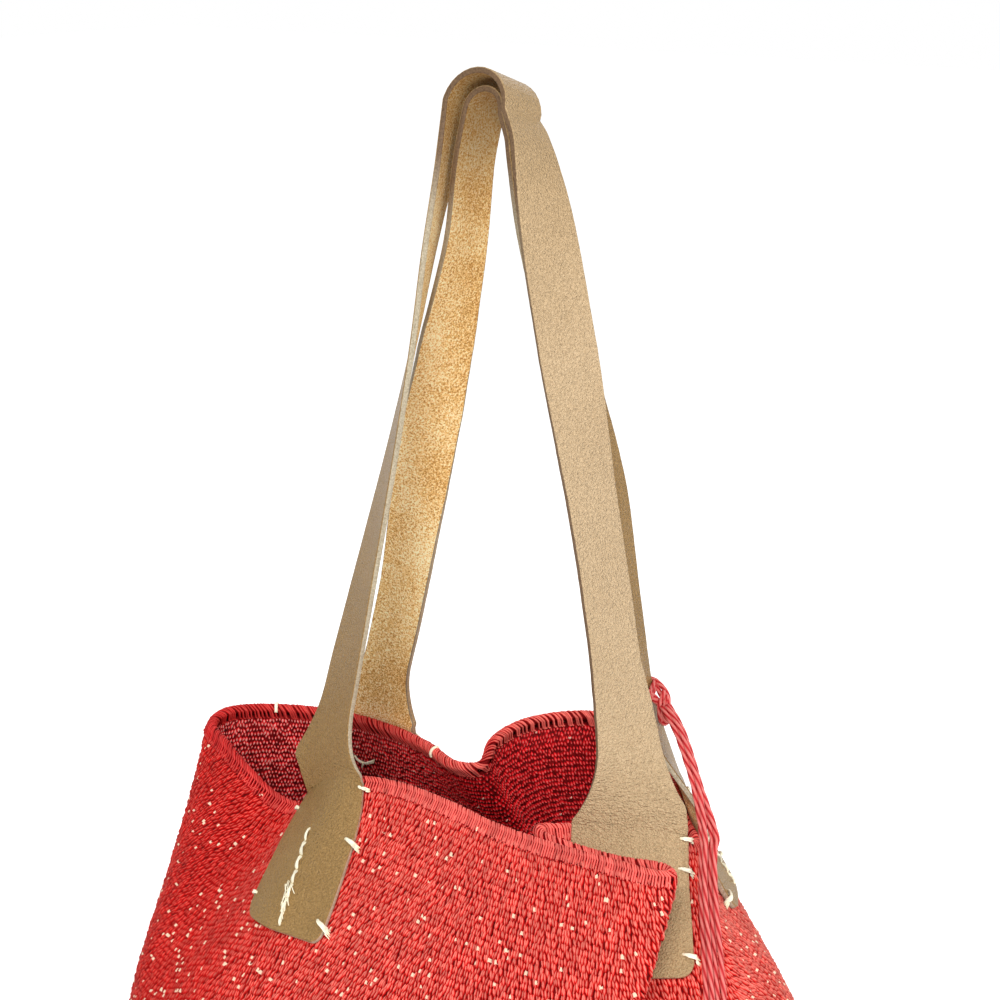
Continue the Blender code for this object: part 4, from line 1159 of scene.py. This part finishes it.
whipping, core, ticks = whippedEdge(), edgeCore(), edgeTicks()
print("edge whipped")

# leather handles
hide = dict(
    # strength and reach of the painted shade near the crown
    round=0.00045, step=0.0018, across=14, corner=4, edgeWave=0.00025, seed=11, crownShadeStrength=0.62,
    crownShadeReach=0.030, bendPlace=0.012, bendReach=0.022, crownBend=0.5, crownSteps=16,
    flare=((0.0, 0.0), (0.004, 0.0015), (0.009, 0.0034), (0.037, 0.0037), (0.052, 0.0024), (0.068, 0.0)),
)


# half the strip's width; the front right leg flares earlier on its outer side
def halfWidth(up, leg, outer=False):
    if up < 0:
        left = leg.tab + up
        corner = leather["tabCorner"]
        if left >= corner:
            return leather["tabWidth"] / 2
        return leather["tabWidth"] / 2 - corner + max(corner**2 - (corner - left) ** 2, 0.0) ** 0.5
    x = min(max((up - leather["neckFlat"]) / (leather["neckLength"] - leather["neckFlat"]), 0.0), 1.0)
    spare = leather["tabWidth"] - leather["strapWidth"]
    half = (leather["strapWidth"] + spare * (1 - x) ** leather["neckPower"]) / 2
    if outer and leg is legs["frontRight"]:
        half = min(half + np.interp(up, *zip(*hide["flare"])), leather["tabWidth"] / 2)
    return half


# section of the strip: place across, place off its middle, and which face it starts
def hideSection(half, pinch):
    r, t = hide["round"], leather["thick"] / 2 * pinch
    r = min(r, t * 0.9)
    across, off, kind = [], [], []
    for k in range(hide["across"] + 1):
        across.append((half - r) * (2 * k / hide["across"] - 1))
        off.append(t)
        kind.append(0)
    for k in range(1, hide["corner"]):
        turn = pi / 2 - k / hide["corner"] * pi / 2
        across.append(half - r + r * cos(turn))
        off.append(t - r + r * sin(turn))
        kind.append(0)
    for k in range(hide["corner"] + 1):
        turn = -k / hide["corner"] * pi / 2
        across.append(half - r + r * cos(turn))
        off.append(-t + r + r * sin(turn))
        kind.append(1 if k < hide["corner"] else 2)
    for k in range(1, hide["across"] + 1):
        across.append((half - r) * (1 - 2 * k / hide["across"]))
        off.append(-t)
        kind.append(2 if k < hide["across"] else 1)
    for k in range(1, hide["corner"]):
        turn = -pi / 2 - k / hide["corner"] * pi / 2
        across.append(-half + r + r * cos(turn))
        off.append(-t + r + r * sin(turn))
        kind.append(1)
    for k in range(hide["corner"]):
        turn = -pi - k / hide["corner"] * pi / 2
        across.append(-half + r + r * cos(turn))
        off.append(t - r + r * sin(turn))
        kind.append(0)
    return np.array(across), np.array(off), kind


def handle(name, left, right, crown, toneAndShade):
    radius, shift = leather[crown]
    chance = np.random.default_rng(hide["seed"])
    wave = np.convolve(chance.normal(size=900), np.ones(9) / 9, "same") * hide["edgeWave"] * 2
    rows, lies, bends, tans, crownShade = [], [], [], [], []

    def stationsOf(leg):
        corner = leather["tabCorner"]
        ends = [corner * (1 - cos(a)) for a in np.linspace(0, pi / 2, 9)]
        lefts = [0.0, 0.00025, 0.0006] + [e for e in ends[1:] if e > 0.0008]
        lefts += list(np.arange(corner + hide["step"], leg.tab - hide["step"] / 2, hide["step"]))
        ups = [left - leg.tab for left in lefts]
        ups += list(np.arange(0.0, leg.length - hide["step"] / 2, hide["step"])) + [leg.length]
        return ups

    def row(leg, up, legToneAndShade):
        pinch = 1.0
        if up < 0:
            left = leg.tab + up
            pinch = min(0.45 + 0.55 * (1 - (1 - min(left / 0.0006, 1)) ** 2) ** 0.5, 1.0)
        half = halfWidth(up, leg) + wave[len(rows) % 900] * 0.5
        across, off, kind = hideSection(half, pinch)
        wider = max(halfWidth(up, leg, True) - halfWidth(up, leg), 0.0) / half
        across = np.where(across > 0, across * (1 + wider), across)
        if up < 0:
            points = leg.over(across * leg.side, -up, leg.middleOff + off)
        else:
            points = leg.skin(up, across, off)
        rows.append(points)
        travelled = 0.0
        if lies:
            travelled = lies[-1][0, 1] + np.linalg.norm(rows[-1].mean(0) - rows[-2].mean(0))
        lies.append(np.stack([across, 0 * across + travelled, off], axis=1))
        bends.append(0 * across + np.exp(-((up - hide["bendPlace"]) / hide["bendReach"]) ** 2))
        # painted shade near the crown
        near = np.exp(-((leg.length - up) / hide["crownShadeReach"]) ** 2)
        crownShade.append(0 * across + hide["crownShadeStrength"] * near)
        # olive-to-tan weight of the grain side: partly leather tone, partly painted light and shade
        tans.append(0 * across + np.interp(up, [t[0] for t in legToneAndShade], [t[1] for t in legToneAndShade]))
        return kind

    for up in stationsOf(left):
        kind = row(left, up, toneAndShade[0])
    first = len(rows)
    for angle in np.linspace(pi, 0, hide["crownSteps"])[1:-1]:
        middlePoint, width, face = crownFrame(radius, angle, shift)
        across, off, kind = hideSection(leather["strapWidth"] / 2, 1.0)
        rows.append(middlePoint + width * across[:, None] + face * off[:, None])
        travelled = lies[-1][0, 1] + np.linalg.norm(rows[-1].mean(0) - rows[-2].mean(0))
        lies.append(np.stack([across, 0 * across + travelled, off], axis=1))
        bends.append(0 * across + hide["crownBend"])
        # painted shade at its fullest over the crown
        crownShade.append(0 * across + hide["crownShadeStrength"])
        share = (len(rows) - first) / (hide["crownSteps"] - 1)
        tans.append(0 * across + toneAndShade[0][-1][1] * (1 - share) + toneAndShade[1][-1][1] * share)
    for up in stationsOf(right)[::-1]:
        kind = row(right, up, toneAndShade[1])
    count, wide = len(rows), len(rows[0])
    faces, kinds = [], []
    for i in range(count - 1):
        for k in range(wide):
            m = (k + 1) % wide
            faces.append((i * wide + k, (i + 1) * wide + k, (i + 1) * wide + m, i * wide + m))
            kinds.append(kind[k])
    faces.append(list(range(wide)))
    faces.append([(count - 1) * wide + k for k in range(wide)][::-1])
    kinds += [1, 1]
    data = dict(
        lie=np.vstack(lies), bend=np.concatenate(bends), tan=np.concatenate(tans), crownShade=np.concatenate(crownShade))
    made = addObject(name, addMesh(name, np.vstack(rows), faces, data))
    for material in (tannedGrain, cutEdge, rawFlesh):
        made.data.materials.append(material)
    made.data.polygons.foreach_set("material_index", kinds)
    made.data.shade_smooth()
    facingOut(made)
    return made


# olive-to-tan weight along each leg from the tab's end up: partly the leather's tone, partly painted light
# and shade, olive on the front left leg turned from the light, tan where the front right leg is lit, low on
# the back right leg in its shadow
toneAndShade = dict(
    frontLeft=((-0.08, 0.0), (0.15, 0.05), (0.30, 0.35)),
    frontRight=((-0.08, 0.45), (-0.01, 0.7), (0.03, 1.0), (0.20, 0.95), (0.30, 0.5)),
    backLeft=((-0.08, 0.7), (0.30, 0.5)), backRight=((-0.08, 0.1), (0.08, 0.0), (0.30, 0.3)),
)
frontHandle = handle("front_handle_leather", legs["frontLeft"], legs["frontRight"], "outerCrown",
                     (toneAndShade["frontLeft"], toneAndShade["frontRight"]))
backHandle = handle("back_handle_leather", legs["backLeft"], legs["backRight"], "innerCrown",
                    (toneAndShade["backLeft"], toneAndShade["backRight"]))
print("leather cut")

# sewing thread
sewing = dict(
    radius=0.00036, fibres=6, spread=0.00034, clear=0.0006, bury=0.0003, seamRise=0.0011,
    reach=0.0046, seamStart=0.044, seamEnd=0.003, pitch=0.0060, low=0.009, middle=0.0445, dash=0.90,
    knot=0.0575, knotRun=0.012, knotEnds=16, knotSpread=0.0009, tuft=(0.006, 0.026),
)
# each stitch: side of the tab, distance from the tab's end, size
whips = dict(
    frontLeft=((1, 0.0705, 0.4), (1, sewing["middle"], 1), (1, sewing["low"], 1.1),
               (-1, sewing["middle"], 0.5), (-1, sewing["low"], 0.45)),
    frontRight=((1, 0.0585, 0.7), (1, sewing["middle"], 0.9), (1, sewing["low"], 1),
                (-1, sewing["middle"], 1)),
    backLeft=((1, 0.062, 1), (1, sewing["middle"], 1), (1, sewing["low"], 1), (-1, 0.062, 1),
              (-1, sewing["middle"], 1), (-1, sewing["low"], 1)),
    backRight=((1, 0.0485, 1), (1, 0.0285, 1), (1, sewing["low"], 1), (-1, sewing["middle"], 1),
               (-1, sewing["low"], 1)),
)


def sewn(name, leg, stitches, knot, seed):
    chance = np.random.default_rng(seed)
    paths = []
    half, r = leather["tabWidth"] / 2, sewing["radius"]
    face, wall = tabOff + leather["thick"], basket["thick"] / 2
    lift, bury = sewing["clear"] + r, sewing["bury"]
    for side, left, size in stitches:
        reach = sewing["reach"] * size
        stations = (
            (half - reach, face - bury, 0.0),
            (half - reach * 0.7, face + lift * 0.8, 0.0003 * size),
            (half - reach / 2, face + lift, 0.0008 * size),
            (half, face + lift, 0.0016 * size),
            (half + lift * 0.7, face + lift * 0.5, 0.0019 * size),
            (half + lift, (face + wall) / 2, 0.0022 * size),
            (half + lift * 1.3, wall + 0.0009 + lift, 0.0026 * size),
            (half + 0.0022, wall + bury, 0.0032 * size),
        )
        for fibre in range(sewing["fibres"]):
            offset = (fibre - (sewing["fibres"] - 1) / 2) * sewing["spread"]
            path, radii = [], []
            for k, (across, off, slant) in enumerate(stations):
                fan = (0.4 + 1.2 * (k / (len(stations) - 1)) ** 1.2) * size**0.5
                down = leg.tab - left + slant + offset * fan + chance.normal() * 0.00012
                extra = chance.random() * 0.0010 * size if k == len(stations) - 1 else 0
                path.append(leg.over(side * (across + extra), down, off + 0.0001 * chance.normal()))
                taper = 0.55 if k in (0, len(stations) - 1) else 1
                radii.append(r * taper * (0.85 + 0.3 * chance.random()))
            paths.append((path, radii))
    at = sewing["seamStart"]
    while at - sewing["pitch"] * 0.62 > sewing["seamEnd"] - 0.001:
        for fibre in (-1, 1):
            path = []
            sway = chance.normal() * 0.00025
            for share in np.linspace(0, 1, 7):
                off = face - bury + sewing["seamRise"] * sin(pi * share) ** 0.6
                twist = fibre * 0.00022 * cos(share * 1.3 * pi)
                down = leg.tab - at + share * sewing["pitch"] * sewing["dash"]
                path.append(leg.over(twist + sway * (share - 0.5) * 2, down, off))
            paths.append((path, r * 1.4))
        at -= sewing["pitch"]
    if knot:
        for k in range(sewing["knotEnds"]):
            start = chance.random()
            across = chance.normal() * sewing["knotSpread"]
            down0 = knot - 0.001 + start * sewing["knotRun"]
            length = 0.003 + 0.005 * chance.random()
            lean = chance.normal() * 0.35 + 0.12
            path = []
            for share in np.linspace(0, 1, 5):
                off = face + 0.0004 + 0.0011 * sin(pi * share) * chance.random()
                shift = across * (1 - 0.5 * start) + lean * length * (share - 0.5)
                path.append(leg.over(shift, down0 + (share - 0.5) * length, off + r))
            paths.append((path, r * 0.58))
    return threads(name, paths, creamThread, 6)


threadPieces = dict(
    frontLeft=sewn("front_left_sewing", legs["frontLeft"], whips["frontLeft"], sewing["knot"], 3),
    frontRight=sewn("front_right_sewing", legs["frontRight"], whips["frontRight"], None, 4),
    backLeft=sewn("back_left_sewing", legs["backLeft"], whips["backLeft"], None, 5),
    backRight=sewn("back_right_sewing", legs["backRight"], whips["backRight"], None, 6),
)


def insideThreads():
    chance = np.random.default_rng(9)
    leg = legs["backLeft"]
    across, down = sewing["tuft"]
    inner = -basket["thick"] / 2 - 0.0006
    paths = []
    arms = ((-0.0058, -0.0022), (0.0050, -0.0026), (0.0016, 0.0040), (-0.0052, -0.0008), (0.0042, -0.0010))
    for x, y in arms:
        for fibre in range(3):
            path = []
            for share in np.linspace(0, 1, 5):
                sway = chance.normal(size=2) * 0.0002
                off = inner - 0.0012 * sin(pi * (0.25 + 0.75 * share)) - 0.0002 * fibre
                path.append(leg.over(across + x * share + sway[0], down + y * share + sway[1], off))
            paths.append((path, sewing["radius"] * 0.8))
    return threads("inside_thread_ends", paths, creamThread, 6)


tuft = insideThreads()
print("sewing done")

# yarn tie round the back handle's right leg
tie = dict(
    radius=0.00112, turns=(0.0026, 0.0046), clear=0.0014, tilt=0.0020, lobeDepth=0.16, pitch=0.016,
    # strands of the knot: across, up and off the leather, in millimetres
    strands=(
        ((12.9, 8.3, 1.0), (12.5, 7.0, 3.6), (11.5, 5.6, 4.8), (10.0, 3.4, 6.8), (8.0, -0.4, 8.1),
         (6.0, -3.3, 7.6), (5.0, -6.5, 5.3), (4.5, -8.6, 3.2), (4.5, -9.6, 2.4)),
        ((13.0, 6.4, 0.8), (12.3, 5.6, 2.8), (11.0, 4.6, 3.8), (9.0, 2.0, 4.8), (7.5, -1.1, 6.1),
         (6.0, -3.7, 5.8), (5.0, -6.1, 4.2), (4.6, -8.0, 2.8)),
        ((0.0, 7.0, 2.4), (3.0, 5.0, 2.5), (5.0, 2.6, 3.0), (7.0, -0.6, 3.8), (8.0, -3.4, 4.6)),
        ((0.0, 4.2, 2.4), (3.0, 2.8, 2.5), (5.0, 0.6, 2.8), (7.0, -2.4, 3.4), (8.2, -4.8, 4.2)),
        ((8.4, 2.6, 7.2), (7.0, 1.0, 6.4), (6.0, -1.0, 4.9), (5.0, -3.4, 3.7), (4.4, -6.4, 3.1),
         (4.3, -8.8, 2.9), (5.2, -10.6, 3.4), (7.0, -10.8, 4.4)),
        ((8.2, 0.4, 8.3), (6.8, -1.6, 7.2), (5.8, -3.4, 6.0), (5.0, -5.8, 4.9), (4.7, -8.4, 4.3),
         (5.4, -10.2, 4.6), (7.2, -10.0, 5.6)),
        ((9.0, 0.8, 5.6), (8.2, -1.8, 6.6), (6.6, -3.4, 7.4), (4.4, -4.8, 7.9), (2.6, -6.2, 8.4)),
        ((7.6, -2.4, 4.6), (6.6, -4.6, 5.6), (4.6, -6.8, 6.6), (2.4, -8.4, 7.4)),
    ),
)


def tieLoop(leg, up, tilt):
    middlePoint, width, axis, face = tieFrame(leg, up)
    half, deep = [size / 2 + tie["clear"] for size in (leather["strapWidth"], leather["thick"])]
    path = []
    for corner, (x, y) in enumerate(((half, deep), (-half, deep), (-half, -deep), (half, -deep))):
        for k in range(5):
            turn = corner * pi / 2 + k / 4 * pi / 2
            dx = x - tie["clear"] * np.sign(x) + tie["clear"] * cos(turn)
            dy = y - tie["clear"] * np.sign(y) + tie["clear"] * sin(turn)
            path.append(middlePoint + width * dx + face * dy + axis * tilt * dx / half)
    path = np.array(path + path[:1])
    fine = []
    for a, b in zip(path[:-1], path[1:]):
        count = max(int(np.linalg.norm(b - a) / 0.0012), 1)
        fine += [a + (b - a) * k / count for k in range(count)]
    return np.array(fine + [path[0]])


def yarnTie():
    leg = legs["backRight"]
    section = (tie["radius"], tie["pitch"], yarn["lobes"], tie["lobeDepth"], 12)
    parts = []
    for number, rise in enumerate(tie["turns"]):
        path = tieLoop(leg, yarn["tieHeight"] + rise, tie["tilt"])
        parts.append(pliedTube("tie_turn", path, *section))
    middlePoint, width, axis, face = tieFrame(leg, yarn["tieHeight"])
    for keys in tie["strands"]:
        points = [middlePoint + (width * x + axis * y + face * z) / 1000 for x, y, z in keys]
        parts.append(pliedTube("tie_strand", smoothPath(points, 0.0008), *section))
    for made in parts:
        facingOut(made)
    return joinPieces("yarn_tie_knot", parts, redYarn)


# several meshes as one piece with one material
def joinPieces(name, parts, material):
    points, faces, crest, run = [], [], [], []
    for made in parts:
        first = len(points)
        mesh = made.data
        points += [tuple(v.co) for v in mesh.vertices]
        faces += [tuple(first + k for k in face.vertices) for face in mesh.polygons]
        crest += [item.value for item in mesh.attributes["crest"].data]
        run += [item.value for item in mesh.attributes["run"].data]
        bpy.data.objects.remove(made)
    joined = addObject(name, addMesh(name, points, faces, dict(crest=crest, run=run)))
    joined.data.materials.append(material)
    joined.data.shade_smooth()
    return joined


knot = yarnTie()
print("yarn tied")

# floor and light
studio = dict(
    floorSize=14.0, floorDrop=0.0002, skyLight=0.58, floorGlow=0.6, aim=(0.02, 0.0, 0.36),
    lamps=(
        dict(name="key", place=(0.85, -1.45, 1.55), power=26.0, size=0.7),
        dict(name="fill", place=(1.7, -0.1, 0.9), power=10.0, size=1.4),
        dict(name="back", place=(-0.9, 1.3, 1.4), power=7.0, size=1.2),
    ),
)


# 1 for what the camera sees of it, directly or in a reflection
def seenByCamera(tree):
    rays = addNode(tree, "ShaderNodeLightPath")
    seen = maths(tree, "MAXIMUM", rays.outputs["Is Camera Ray"], rays.outputs["Is Glossy Ray"])
    return maths(tree, "MAXIMUM", seen, rays.outputs["Is Transmission Ray"])


def addFloor():
    size = studio["floorSize"] / 2
    points = [(x * size, y * size, -studio["floorDrop"]) for x, y in ((-1, -1), (1, -1), (1, 1), (-1, 1))]
    floor = addObject("floor", addMesh("floor", points, [(0, 1, 2, 3)]))
    made, tree, shader = newMaterial("paleFloor", 0.9, 0.1)
    shader.inputs["Base Color"].default_value = (0.86, 0.86, 0.86, 1)
    glow = maths(tree, "MULTIPLY", seenByCamera(tree), studio["floorGlow"])
    grey = addNode(tree, "ShaderNodeCombineXYZ", {0: glow, 1: glow, 2: glow}).outputs[0]
    tree.links.new(grey, shader.inputs["Emission Color"])
    shader.inputs["Emission Strength"].default_value = 1.0
    floor.data.materials.append(made)


def addSky():
    world = bpy.data.worlds.new("studio")
    world.use_nodes = True
    bpy.context.scene.world = world
    tree = world.node_tree
    back = tree.nodes["Background"]
    seen = addNode(tree, "ShaderNodeLightPath").outputs["Is Camera Ray"]
    back.inputs["Color"].default_value = (1, 1, 1, 1)
    extra = maths(tree, "MULTIPLY_ADD", seen, 1 - studio["skyLight"], studio["skyLight"])
    tree.links.new(extra, back.inputs["Strength"])


def addLamps():
    for lamp in studio["lamps"]:
        light = bpy.data.lights.new(lamp["name"], "AREA")
        light.energy, light.size = lamp["power"], lamp["size"]
        made = bpy.data.objects.new(lamp["name"], light)
        made.location = lamp["place"]
        aim = Vector(studio["aim"]) - Vector(lamp["place"])
        made.rotation_euler = aim.to_track_quat("-Z", "Y").to_euler()
        bpy.context.scene.collection.objects.link(made)


addFloor()
addSky()
addLamps()
print("lit")

# pieces to bodies
bpy.data.objects.remove(grain)
for piece in weavePieces + [ground]:
    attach(piece, "basket")
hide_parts("woven_body")
for piece in (whipping, core):
    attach(piece, "basket")
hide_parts("rolled_edge")
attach(ticks, "basket")

bend = dict(start=(0.0, 0.0, 0.3190), end=(0.0, 0.0, 0.3540))
for piece, body in ((frontHandle, "front_handle"), (backHandle, "back_handle")):
    side = body.split("_")[0]
    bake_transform(piece, "basket", body, start=bend["start"], end=bend["end"])
    parts = [side + "_%s_%s" % (leg, part) for leg in ("left", "right") for part in ("tab", "neck")]
    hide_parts(side + "_strap", *parts)

for name, piece in threadPieces.items():
    side = name.replace("Left", "_left").replace("Right", "_right")
    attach(piece, "basket")
    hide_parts(side + "_seam", *[side + "_stitch_%d" % (k + 1) for k in range(len(whips[name]))])
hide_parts("seam_knot")
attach(tuft, "basket")
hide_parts("inside_tuft")

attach(knot, "back_handle")
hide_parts("yarn_tie")
for number, (piece, path) in enumerate(looseEnds, 1):
    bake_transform(piece, "basket", "back_handle", start=bend["start"], end=bend["end"])
    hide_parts("yarn_strand_%d" % number)
print("pieces placed on their bodies")
